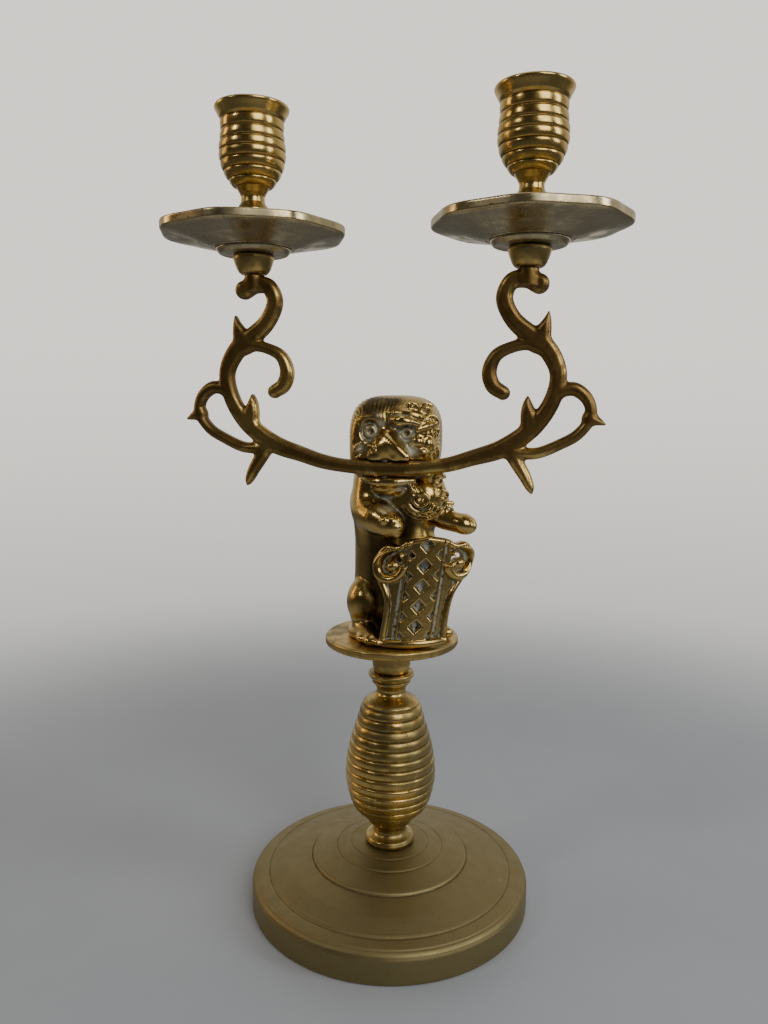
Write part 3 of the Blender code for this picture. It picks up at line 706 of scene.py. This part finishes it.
# Each stroke of one arm, as (distance from the middle, z, radius) knots. The other arm mirrors it.
ARM_STROKES = [
    [(-15, 190.7, 2.75), (0, 189.9, 3.1), (15, 190.7, 2.75), (25, 192.2, 2.9), (34, 194.9, 3.1),
     (46, 199, 3.6), (56.5, 206.6, 3.5), (63.2, 216, 3.2), (65.6, 226.6, 3.2), (61.8, 235.4, 3.6),
     (55.4, 240.8, 3.6), (48.6, 246.8, 3.3), (45, 254.4, 3.2), (47.4, 260.6, 3.1), (52.8, 261.6, 3.3),
     (57.6, 259.6, 3.7)],
    [(57, 238.4, 2.6), (49.6, 237.2, 2.2), (42.8, 234, 2.4), (40.1, 228, 2.8), (41.5, 222.6, 2.9),
     (45.4, 219.8, 2.7)],
    [(58, 238.5, 4.1), (59.6, 242.5, 3), (60.9, 246.4, 1.5), (61.4, 249.4, 0.4)],
    [(56, 207.5, 3.6), (55.2, 211.6, 3), (54.7, 215.2, 1.9), (54.7, 218.3, 0.5)],
    [(49, 197.6, 3), (52, 192.6, 2.6), (54.6, 188.4, 2.3), (56.4, 184.6, 1.7), (57.2, 182.2, 0.5)],
    [(66.4, 220.8, 2.5), (72, 221.2, 2.6), (76.7, 217.2, 2.3), (77.8, 211, 2.1), (73.4, 204.6, 2.1),
     (66.6, 200.6, 2.1), (58.8, 197.4, 2.2), (50.4, 197.2, 2.4)],
    [(77, 210.8, 2.3), (80, 209.8, 1.7), (82.9, 208.6, 0.5)],
]
ARM_HALF_DEPTH, ARM_ROUNDING, ARM_CLAY = 2.9, 2.4, 0.36
TIP_R, TIP_LOW, TIP_TOP = 3.7, 258.8, 265.2


def stroke_distance(knots, across, height):
    line = smooth_line(knots)
    best = np.full(np.broadcast(across, height).shape, 99.0, np.float32)
    for a, b in zip(line, line[1:]):
        along = b[:2] - a[:2]
        t = np.clip(((across - a[0]) * along[0] + (height - a[1]) * along[1]) / (along @ along), 0, 1)
        away = np.hypot(across - a[0] - t * along[0], height - a[1] - t * along[1])
        best = np.minimum(best, away - (a[2] + t * (b[2] - a[2])))
    return best


def make_branch():
    low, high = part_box("branch")
    low, high = low / MM, high / MM
    middle_y = (low.y + high.y) / 2
    clay = Clay((low.x - 1, middle_y - 5, low.z - 1), (high.x + 1, middle_y + 5, high.z + 1), ARM_CLAY)
    x, y, z = clay.axes()
    across, height = np.abs(x[:, 0, :]), z[0]
    flat = np.full((clay.shape[0], clay.shape[2]), 99.0, np.float32)
    for knots in ARM_STROKES:
        flat = smooth_min(flat, stroke_distance(knots, across, height), 1.6)
    # The casting is flat, and its edges are rounded over.
    flat = flat[:, None, :]
    y = np.abs(y - middle_y)
    beyond = np.maximum(y - ARM_HALF_DEPTH + ARM_ROUNDING, 0)
    clay.field = (np.hypot(np.maximum(ARM_ROUNDING + flat, 0), beyond) - ARM_ROUNDING).astype(np.float32)
    boss_x = centre_of("right_boss").x
    tip = np.maximum(np.hypot(np.abs(x) - boss_x, y) - TIP_R, np.abs(z - (TIP_LOW + TIP_TOP) / 2)
                     - (TIP_TOP - TIP_LOW) / 2)
    clay.field = smooth_min(clay.field, tip.astype(np.float32), 1.2)
    stud = np.maximum(np.hypot(np.abs(x) - boss_x, y) - STUD_HOLE_R, STUD_HOLE_LOW - z)
    clay.field = np.maximum(clay.field, -stud).astype(np.float32)
    obj = sculpted("scrolled_branch", clay, paints["branch_brass"], 1.4)
    finish_piece(obj, "stand", "branch")


# ---- the shield

STANDS_AT = PLATFORM_TOP + 0.3      # the lion's feet and the shield's
SHIELD_FOOT, SHIELD_TURN, SHIELD_BEND_R = (12.6, -21.5, 119.2), 15, 30
SHIELD_SKEW = (0.14, 0.04)          # shifts across per mm of height, and up per mm across
SHIELD_FRONT, SHIELD_BACK, SHIELD_ROUNDING = -1.2, -4, 0.8
SHIELD_HALF = [(0, -0.6), (7, -0.2), (13.2, 1), (13.8, 4), (13.6, 12), (14.4, 20), (17.4, 26),
               (19.6, 31), (19.6, 37), (16.6, 41.4), (12, 41.4), (8, 43.4), (0, 45)]
VOLUTE, VOLUTE_SHIFT = (14.4, 33), 0.9
BAND_HALF, TRELLIS_PITCH, PIT_HALF = 6.8, 8.2, 3.1


def outline_distance(points, a, b):
    """Distance to a closed outline, negative inside it."""
    best = np.full(a.shape, 1e9)
    inside = np.zeros(a.shape, bool)
    for (x0, y0), (x1, y1) in zip(points, np.roll(points, -1, 0)):
        t = np.clip(((a - x0) * (x1 - x0) + (b - y0) * (y1 - y0)) / ((x1 - x0) ** 2 + (y1 - y0) ** 2), 0, 1)
        best = np.minimum(best, (a - x0 - t * (x1 - x0)) ** 2 + (b - y0 - t * (y1 - y0)) ** 2)
        if y0 != y1:
            inside ^= ((y0 > b) != (y1 > b)) & (a < (x1 - x0) * (b - y0) / (y1 - y0) + x0)
    return np.where(inside, -1, 1) * np.sqrt(best)


def bead(offset, half_width):
    """1 at the middle of a round-topped line and 0 outside it."""
    return np.sqrt(np.clip(1 - (offset / half_width) ** 2, 0, 1))


def make_shield():
    clay = Clay((-23.5, -1.5, -4.6), (23.5, 47, 2.6), 0.25)
    a3, b3, d3 = clay.axes()
    a, b = np.broadcast_arrays(a3[:, :, 0], b3[:, :, 0])
    half = smooth_line(SHIELD_HALF, 6)
    outline = np.vstack([half, (half * (-1, 1))[::-1][1:-1]])
    edge = outline_distance(outline, a, b)
    across = np.abs(a)
    front = np.full(a.shape, SHIELD_FRONT)
    # A rolled rim follows the outline, and two fine lines bound the middle band.
    front = np.maximum(front, SHIELD_FRONT + 1.7 * bead(edge + 1.3, 1.4))
    front += 0.9 * bead(across - BAND_HALF - 0.3, 0.7) * (b > 3.5)
    front -= 0.7 * bead(across - BAND_HALF - 1.5, 0.7) * (b > 3.5)
    # The band is a trellis of broad flat bars round sunk diamonds.
    in_band = (across < BAND_HALF - 0.3) & (b > 3.2) & (edge < -1.6)
    off_pit = np.full(a.shape, 9)
    for shift, middle in ((0, 0), (0.5, BAND_HALF + 0.2)):
        row = (b - 8.6) / TRELLIS_PITCH + shift
        off_row = np.abs((row - np.round(row)) * TRELLIS_PITCH)
        off_pit = np.minimum(off_pit, np.abs(across - middle) / PIT_HALF + off_row / PIT_HALF)
    front = np.where(in_band, 0.15 - 2.6 * np.clip((1 - off_pit) * 2.4, 0, 1), front)
    # A round knob in a hollow that opens upwards, held by a thick scroll, on either side.
    beyond, above = np.abs(a - VOLUTE_SHIFT) - VOLUTE[0], b - VOLUTE[1]
    away, angle = np.hypot(beyond, above), np.arctan2(above, beyond)
    scroll = SHIELD_FRONT + 2.5 * bead(away - 5.3, 1.9) * (angle < 2.4)
    front = np.maximum(front, np.where(away < 7.2, scroll, -9))
    front -= 2.4 * np.clip((4.2 - np.hypot(beyond + 0.2, (above - 1.4) * 0.85)) / 1.2, 0, 1)
    channel = np.abs(beyond + 0.4 + 0.25 * above) / 1.8
    front -= 2 * np.clip(1.3 - channel, 0, 1) * (above > 0) * np.clip(-1.6 - edge, 0, 1)
    knob = np.hypot(beyond + 0.8, above)
    front = np.maximum(front, np.where(knob < 2.3, -1.6 + 2.9 * bead(knob, 2.4), -9))
    stem = np.hypot(beyond + 3, above + 1.2)
    front = np.maximum(front, np.where(stem < 2.3, -1.4 + 1.9 * bead(stem, 2.4), -9))
    # The foot is a thick roll.
    front = np.maximum(front, np.where(np.abs(b - 1.5) < 1.9, -1 + 2 * bead(b - 1.5, 1.9), -9))
    thick = np.maximum(d3 - front[:, :, None], SHIELD_BACK - d3) + SHIELD_ROUNDING
    rim = edge[:, :, None] + SHIELD_ROUNDING
    clay.field = (np.hypot(np.maximum(thick, 0), np.maximum(rim, 0)) - SHIELD_ROUNDING
                  + np.minimum(np.maximum(thick, rim), 0)).astype(np.float32)
    skew = Matrix(((1, 0, SHIELD_SKEW[0]), (0, 1, 0), (SHIELD_SKEW[1], 0, 1)))
    turn = np.array(rotation(SHIELD_TURN, "Z") @ skew)

    def hollows(points):
        """From 0 to 1, how deep each point of the front lies in the relief."""
        i, j = (((points[:, k] - clay.low[k]) / clay.step).round().astype(int) for k in (0, 1))
        level = front[i.clip(0, front.shape[0] - 1), j.clip(0, front.shape[1] - 1)]
        return np.clip(-1 - level, 0, 1) * (points[:, 2] > -3.2)

    def bend(points):
        angle = np.arcsin(points[:, 0] / SHIELD_BEND_R)
        radius = SHIELD_BEND_R + points[:, 2]
        bent = np.stack([radius * np.sin(angle), SHIELD_BEND_R - radius * np.cos(angle), points[:, 1]], -1)
        placed = bent @ turn.T + SHIELD_FOOT
        placed[:, 2] = np.maximum(placed[:, 2], STANDS_AT)
        return placed

    obj = sculpted("held_shield", clay, paints["lion_brass"], 1, bend, hollows)
    finish_piece(obj, "stand", "shield")


# ---- the lion

BAR_SLOT_FRONT, BAR_SLACK, ROD_HOLE_TOP, LION_CLAY = -13.4, 0.2, 146.4, 0.36
EYES = ((-6.7, 204.4, 3.3, 3.5), (7.9, 204, 3.5, 2.9))     # x, z, half width, half height
# Where the lion is painted dark: old dirt, and painted shade in its crevices, on the shaded sides of the
# flank and haunch, and a painted dark reflection on the muzzle's front: x, y, z and how far it spreads.
SOOT_AND_SHADE_SPOTS = [(-6, -11, 217, 4.5), (2, -12, 217, 4), (-6, -13.5, 133, 4.6), (-3, -12, 165, 5),
         (-1, -11, 158, 7.5), (-1, -10, 148, 7.5), (-1, -11, 140, 6.5), (-3, -10, 130, 6),
         (-6.2, -14.4, 204.4, 1.1), (8.3, -14.4, 204, 1.1), (-3, -14, 124, 4.5), (9, -14, 166, 5),
         (-6, -14.8, 184.5, 3), (8, -15, 173, 3.6), (-6, -14, 213, 4.6), (-1, -15, 176, 2.6),
         (-5, -16, 196.5, 3.4), (17, -9, 174, 3)]
# The same for polish residue on the face and chest.
CHALKY = [(-6.7, -15, 204.4, 3), (7.9, -15, 204, 3), (-2, -15, 207.4, 1.5), (10.4, -16, 197.6, 2.6),
          (-3.4, -15, 210.8, 1.2), (-10.4, -13.6, 197.6, 2.2), (1, -17, 172.8, 3), (7, -15.6, 183.6, 2.6)]


def bar_slot():
    """The notch across the mouth that the branch's bar lies in."""
    bar = np.asarray(ARM_STROKES[0][:4])

    def distance(x, y, z):
        middle = np.interp(np.abs(x), bar[1:, 0], bar[1:, 1])
        radius = np.interp(np.abs(x), bar[1:, 0], bar[1:, 2]) + BAR_SLACK
        return np.maximum(np.abs(z - middle) - radius, y - BAR_SLOT_FRONT)

    return distance, np.array((-30, -40, 184)), np.array((30, BAR_SLOT_FRONT, 196))


def combed(shape, middle, pitch, depth, front_only):
    """The same shape with fine grooves running back from the face, like combed hair."""
    distance, low, high = shape
    count = round(2 * math.pi * 17 / pitch)

    def grooved(x, y, z):
        angle = np.arctan2(z - middle[2], x - middle[0]) + 0.06 * np.sin(y * 0.45)
        lines = depth * (0.5 + 0.5 * np.cos(count * angle))
        upper = np.clip((z - middle[2] + 4) / 6, 0, 1)
        return distance(x, y, z) + lines * upper * np.clip((front_only - y) / 5, 0, 1)

    return grooved, low, high


def curl(add, middle, radius, thick, turns, start, tilt, lift):
    """A lock of hair wound in a flat spiral that faces the front."""
    knots = []
    for k in range(int(turns * 8) + 1):
        t = k / (turns * 8)
        angle = math.radians(start) + t * turns * 2 * math.pi
        reach = radius * (1 - 0.78 * t)
        along = reach * math.cos(angle)
        knots.append((middle[0] + along, middle[1] - lift * t + tilt * along,
                      middle[2] + reach * math.sin(angle), thick * (1 - 0.45 * t)))
    add(rope(knots, 3), 0.5)


def lion_body(add, cut):
    add(rope([(-3.4, 1, 134, 12.6), (-3.3, 1, 160, 12.7), (-3, 1, 184, 13.2)], 3), 0)
    add(block((-2, 2, 150), (12.6, 11.8, 34), 3), 2)
    add(ball((-2, 3, 134), (14, 13.6, 17)), 4)
    add(ball((8, 5, 132), (11, 12, 13.4)), 3)
    add(ball((10, -6, 151), (9.4, 10, 27)), 3)
    add(ball((9.5, -4.5, 176), (14.5, 10.5, 12.5)), 3)
    add(ball((12, -4, 183), (9, 9, 8)), 3)
    add(ball((-6.4, -2.8, 176), (9.4, 10.6, 20)), 4)
    # Shoulder and near foreleg, whose paw rests on the shield's top.
    add(rope([(-9, -4, 174.6, 8), (-7.6, -9, 172, 7.4), (-3, -14.4, 170, 6.6),
              (2, -17.6, 168.4, 5.4)]), 2.6)
    add(ball((3.4, -19, 167.6), (5.2, 4.8, 4.6)), 1.4)
    for k, (x, z) in enumerate(((1.4, 170.2), (4.4, 169.8), (6.3, 167.6), (5.8, 164.8))):
        add(ball((x, -22 + 0.6 * k, z), (1.9, 2.2, 1.8)), 0.7)
    # The far foreleg comes round behind the shield and its paw hangs over the corner.
    add(rope([(13, -5, 177, 6.2), (21, -8.6, 170.8, 4.6), (27, -9.6, 168.8, 4)]), 1.6)
    add(ball((30.6, -9.8, 168.2), (5.6, 4.8, 4.2), (0, 14, 0)), 0.8)
    for y in (-12.2, -9.8, -7.4):
        cut(rope([(33.8, y, 169.8, 0.35), (36.2, y, 167.4, 0.4), (36.2, y, 165, 0.35)], 3), 0.4)
    # Haunch, and a long flat foot with its toes.
    add(ball((-10, -6, 134), (7.9, 9, 10.4), (0, 4, 0)), 0.8)
    add(ball((-8.4, -12.4, 134.6), (4.4, 3, 5)), 1.6)
    add(rope([(-10.6, -6, 126.4, 5.6), (-9.4, -10, 122.8, 4.6), (-6.6, -15, 121.4, 3.8),
              (-4.2, -19, 120.9, 3)]), 1.8)
    add(rope([(-16, -4, 120.6, 2.4), (-13.6, -9, 120.6, 2.6), (-8, -15, 120.4, 2.6)]), 1.2)
    for x, y in ((-9, -17), (-5.4, -19.6), (-1.8, -20.4)):
        add(ball((x, y, 120.8), (2.3, 3.4, 1.9), (0, 0, 20)), 1)
    add(rope([(12, 6, 122.5, 4.4), (19, 1.6, 121.4, 3.6), (24, -2, 121, 2.4)]), 1.4)
    # A thin ledge joins all the feet.
    add(slab((-14, -10, STANDS_AT), (20, 14, 120.2)), 1)


def lion_tail(add, cut):
    add(rope([(4, 15, 124, 2.2), (11, 13.6, 127, 2.2), (14, 10.6, 134, 2.1), (11, 12.6, 142, 2),
              (6, 13.6, 148, 1.9), (4, 13.8, 154, 1.9)]), 0.7)
    for shift in (-1.6, 0, 1.6):
        add(rope([(4, 13.6, 152, 1.2), (4 + shift, 14.2, 157, 1.9),
                  (3 + 1.6 * shift, 13.6, 163, 0.7)]), 0.5)


def lion_head(add, cut):
    hood = block((1.2, 0, 201.8), (18.5, 15.6, 17.1), 3.1)
    add(combed(hood, (1.2, 0, 198), 1.5, 0.3, 9), 1.2)
    add(block((1, -2.6, 199), (17.6, 13.2, 14), 4), 1)
    # The face lies a little behind the hood's brim.
    cut(ball((0.4, -21.6, 201), (14, 7.6, 11.6)), 1.6)
    # Brows, with the furrow between them.
    add(ball((-5.8, -12.6, 210), (5.6, 3.4, 2.9), (0, -10, 0)), 1.2)
    add(ball((8.2, -12.8, 211), (6.4, 3.4, 3), (0, 8, 0)), 1.2)
    add(rope([(2.8, -15.8, 209, 1.6), (7.2, -17, 208.7, 2.3), (12.4, -15.2, 207.6, 1.3)]), 0.5)
    cut(rope([(-0.6, -16.6, 214.4, 0.8), (0.6, -16, 210.5, 1.3), (0, -16.4, 206.8, 1)]), 0.8)
    # Eyes: a domed disc in a deep ring, with a drilled middle.
    for x, z, wide, tall in EYES:
        cut(ball((x, -16.2, z), (wide + 1.2, 3.4, tall + 1.2)), 0.8)
        add(ball((x, -12.8, z), (wide, 2.6, tall)), 0.2)
        cut(ball((x + 0.3, -15.6, z), (1.4, 1.7, 1.5)), 0.3)
    # The muzzle is a wedge that widens down to the bar, with a sharp ridge down its right side.
    add(rope([(0, -12.6, 205, 2.2), (-2.2, -14.6, 199.8, 3.6), (-4, -15.6, 195, 4)]), 1.2)
    add(rope([(0.2, -12.8, 205, 2.2), (2.8, -15.4, 199.8, 3.6), (5.4, -16.4, 195, 4)]), 2.4)
    add(ball((0.4, -16.4, 198), (4.4, 3.6, 4.8)), 2)
    add(rope([(0.4, -16.6, 202, 2.1), (4.4, -18.8, 198.6, 2.2), (8.4, -19.2, 195, 2.1)]), 1.2)
    add(rope([(-6.6, -17.4, 199, 0.6), (-4.8, -18.6, 198.7, 0.7), (-3.4, -19.6, 197.2, 0.6)], 4), 0.4)
    for x, z in ((-2.6, 196.2), (-4.4, 195.4), (-0.8, 195.2), (2, 195.6)):
        cut(ball((x, -20.4, z), 0.55), 0.3)
    # Two round curls on the right cheek, and the locks beside them.
    add(ball((12.4, -13.4, 200.6), (2.9, 3, 2.9)), 0.4)
    add(ball((16.2, -11.4, 199.8), (2.6, 3, 3.2)), 0.4)
    add(ball((13.8, -13, 196.6), (3.4, 2.4, 1.9)), 0.6)
    for k in range(7):
        add(ball((-11.6 - 0.5 * math.sin(0.5 * k), -12.6, 210.4 - 1.7 * k), (0.85, 1, 0.85)), 0.3)
    add(ball((-11.4, -12, 196.4), (2.6, 2.8, 3.6)), 0.8)
    for k in range(3):
        z = 200 - 2.4 * k
        lock = [(-9, -14.8, z, 0.5), (-11.4, -14.8, z - 1.2, 0.7), (-13.8, -12.4, z - 3, 0.5)]
        add(rope(lock, 4), 0.35)
    for middle, radius, start in (((15.4, -11.6, 213.2), 2.6, 40), ((10.6, -13.6, 214.6), 2, 150),
                                  ((17.2, -9.8, 209), 2.4, -30)):
        curl(add, middle, radius, 0.8, 1.3, start, 0.3, 0.8)
    add(rope([(12.6, -14.6, 205.4, 0.8), (16.2, -12.4, 206.8, 1.2), (19, -8.8, 207.8, 0.9)]), 0.5)
    for k in range(3):
        x, y = 17.2 + 0.9 * k, -11.6 + 2.6 * k
        wave = [(x + 0.5 * math.sin(1.3 * t + k), y, 205.6 - 2 * t, 0.7) for t in range(7)]
        add(rope(wave, 3), 0.3)


def lion_mane(add, cut):
    # Lip and chin under the bar.
    add(rope([(-10, -12.6, 185.4, 1), (-4, -16.8, 184.8, 1.9), (4, -17.4, 184.8, 2),
              (11, -14.8, 185.4, 1.1)]), 0.6)
    add(ball((1, -11.8, 182), (7.6, 5.4, 3.2)), 1.6)
    # Swirls of hair on the chest.
    add(ball((14.6, -10.4, 178.6), (7.6, 6, 7.6)), 1.2)
    curl(add, (14.8, -16, 178.4), 3.6, 0.85, 1.4, 160, 0.12, 0.8)
    curl(add, (24.6, -10.4, 173.8), 2.9, 0.95, 1.5, 60, 0.3, 0.8)
    curl(add, (22.8, -11.4, 180.2), 2.6, 0.9, 1.4, 100, 0.3, 0.8)
    curl(add, (20.8, -11.8, 185.8), 2.4, 0.9, 1.3, 30, 0.3, 0.6)
    curl(add, (19.6, -12.6, 175.6), 1.9, 0.8, 1.3, 200, 0.3, 0.6)
    for k in range(5):
        x, z = 9.6 + 1.8 * k, 184.4 - 0.7 * k
        add(rope([(x, -15.8 + 0.4 * k, z, 0.55), (x + 1.5, -16.6 + 0.5 * k, z - 2.4, 0.65),
                  (x + 3.2, -16.2 + 0.6 * k, z - 4.6, 0.45)], 4), 0.3)
    for k in range(3):
        reach = 5.4 + 1.5 * k
        arc = [(14.8 + reach * math.cos(t), -16 + 0.9 * k + 0.16 * reach * math.cos(t),
                178.4 + reach * math.sin(t), 0.75)
               for t in np.linspace(math.radians(205), math.radians(330), 7)]
        add(rope(arc, 3), 0.35)
    # Fine combed lines where the near shoulder meets the mane, over the arm.
    for k in range(6):
        x = -1.4 + 1.2 * k
        cut(rope([(x, -19.6, 180 - 0.4 * k, 0.28), (x + 1.6, -20.8, 177.4 - 0.7 * k, 0.32),
                  (x + 2, -21.4, 174.6 - 0.9 * k, 0.28)], 3), 0.2)
    # Locks down the neck and back: long waves in rows, ending in a point.
    for row, (top, bottom) in enumerate(((198, 178), (190, 166))):
        for k in range(9):
            angle = math.radians(18 + 18 * k + 9 * row)
            reach = 15.2 - 0.7 * row
            wave = []
            for t in range(6):
                turn = angle + 0.10 * math.sin(1.4 * t)
                fall = reach * (1 - 0.05 * t)
                wave.append((1 - 0.6 * t + fall * 1.10 * math.cos(turn), 0.6 + fall * 0.9 * math.sin(turn),
                             top + (bottom - top) * t / 5, 1.5 - 0.2 * t))
            add(rope(wave, 3), 0.5)


def make_lion():
    clay = Clay((-23.5, -27.5, STANDS_AT - 0.6), (38.5, 20, 220.4), LION_CLAY)
    for sculpt in (lion_body, lion_tail, lion_head, lion_mane):
        sculpt(clay.add, clay.cut)
    clay.cut(bar_slot(), 0.2)
    clay.cut(slab((-40, -40, 110), (60, 40, STANDS_AT)), 0)
    clay.cut(rope([(0, 0, 110, ROD_HOLE_R), (0, 0, ROD_HOLE_TOP, ROD_HOLE_R)], 2), 0)
    obj = sculpted("seated_lion", clay, paints["lion_brass"], 1.3)
    points = read(obj.data.vertices, "co", 3) / MM
    # Writes the polish residue spots, and the dark spots of soot and painted shade.
    for name, spots in (("chalk", CHALKY), ("soot_and_painted_shade", SOOT_AND_SHADE_SPOTS)):
        spread = 0
        for x, y, z, reach in spots:
            spread = spread + np.exp(-((points - (x, y, z)) ** 2).sum(1) / reach**2)
        attribute(obj.data, name, np.clip(spread * 1.3, 0, 1))
    finish_piece(obj, "stand", "lion")


make_branch()
make_shield()
make_lion()
for node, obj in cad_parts.items():
    if not obj.hide_render:
        obj.data.materials.clear()
        obj.data.materials.append(paints["old_steel"])


# ---- floor, light and camera

FLOOR_R, FLOOR_SIDES, FLOOR_CLEAR_R, FLOOR_FADED_R = 0.9, 96, 0.2, 0.6


def make_floor():
    turns = np.arange(FLOOR_SIDES) * 2 * math.pi / FLOOR_SIDES
    ring = [(FLOOR_R * math.cos(turn), FLOOR_R * math.sin(turn), 0.0) for turn in turns]
    mesh = bpy.data.meshes.new("floor")
    mesh.from_pydata(ring, [], [tuple(range(FLOOR_SIDES))])
    mesh.materials.append(floor_paint(FLOOR_CLEAR_R, FLOOR_FADED_R))
    obj = bpy.data.objects.new("floor", mesh)
    bpy.context.scene.collection.objects.link(obj)


def make_world():
    """Pale behind and dimmer in front and below, as in a room. The camera itself sees an even pale wall."""
    world = bpy.data.worlds.new("studio")
    world.use_nodes = True
    bpy.context.scene.world = world
    nodes = Nodes(world.node_tree, "Generated")
    _, y, z = nodes.axes()
    room = nodes.mix(nodes.ramp(y, -0.1, 0.8), rgb(0.045, 0.04, 0.036), rgb(0.62, 0.60, 0.56))
    room = nodes.mix(nodes.ramp(z, -0.25, 0.05), rgb(0.09, 0.092, 0.10), room)
    wall = nodes.mix(nodes.ramp(z, -0.5, 0.12), rgb(0.42, 0.43, 0.44), rgb(1.25, 1.20, 1.10))
    both = nodes.add("MixShader")
    nodes.put(both.inputs[0], nodes.add("LightPath").outputs["Is Camera Ray"])
    for socket, colour in zip(both.inputs[1:], (room, wall)):
        nodes.put(socket, nodes.add("Background", Color=colour).outputs[0])
    output = next(n for n in nodes.tree.nodes if n.type == "OUTPUT_WORLD")
    nodes.put(output.inputs["Surface"], both.outputs[0])


# Each light: degrees round from the front toward +X, degrees up, metres away, width, height, watts, colour.
LIGHTS = {
    "window": (40, 30, 1.2, 0.62, 0.75, 5.2, (1, 0.98, 0.94)),
    "side_window": (84, 22, 1.2, 0.36, 0.75, 3.4, (0.97, 0.98, 1)),
    "warm_side": (-88, 18, 1.2, 0.26, 0.70, 1.6, (1, 0.72, 0.42)),
    "small_front": (-46, 34, 1.2, 0.10, 0.20, 1, (1, 0.97, 0.92)),
    "overhead": (0, 88, 1.3, 0.8, 0.8, 1.6, (1, 1, 1)),
}
LIGHT_TARGET = Vector((0, 0, 0.17))


def make_lights():
    for name, (azimuth, elevation, distance, width, height, watts, colour) in LIGHTS.items():
        data = bpy.data.lights.new(name, "AREA")
        data.shape = "RECTANGLE"
        data.size, data.size_y, data.energy, data.color = width, height, watts, colour
        around, up = math.radians(azimuth), math.radians(elevation)
        out = Vector((math.sin(around) * math.cos(up), -math.cos(around) * math.cos(up), math.sin(up)))
        obj = bpy.data.objects.new(name, data)
        obj.location = LIGHT_TARGET + out * distance
        obj.rotation_euler = (-out).to_track_quat("-Z", "Y").to_euler()
        bpy.context.scene.collection.objects.link(obj)


CAMERA_AT, CAMERA_LENS = (0.0681, -0.32834, 0.21551), 28.48
CAMERA_HEADING, CAMERA_DOWN, CAMERA_ROLL = 12.363, 7.639, 0.514


def make_camera():
    data = bpy.data.cameras.new("camera")
    data.lens = CAMERA_LENS
    obj = bpy.data.objects.new("camera", data)
    obj.matrix_world = (Matrix.Translation(CAMERA_AT) @ rotation(CAMERA_HEADING, "Z", 4)
                        @ rotation(90 - CAMERA_DOWN, "X", 4) @ rotation(CAMERA_ROLL, "Z", 4))
    bpy.context.scene.collection.objects.link(obj)
    bpy.context.scene.camera = obj


make_floor()
make_world()
make_lights()
make_camera()

bpy.context.view_layer.update()
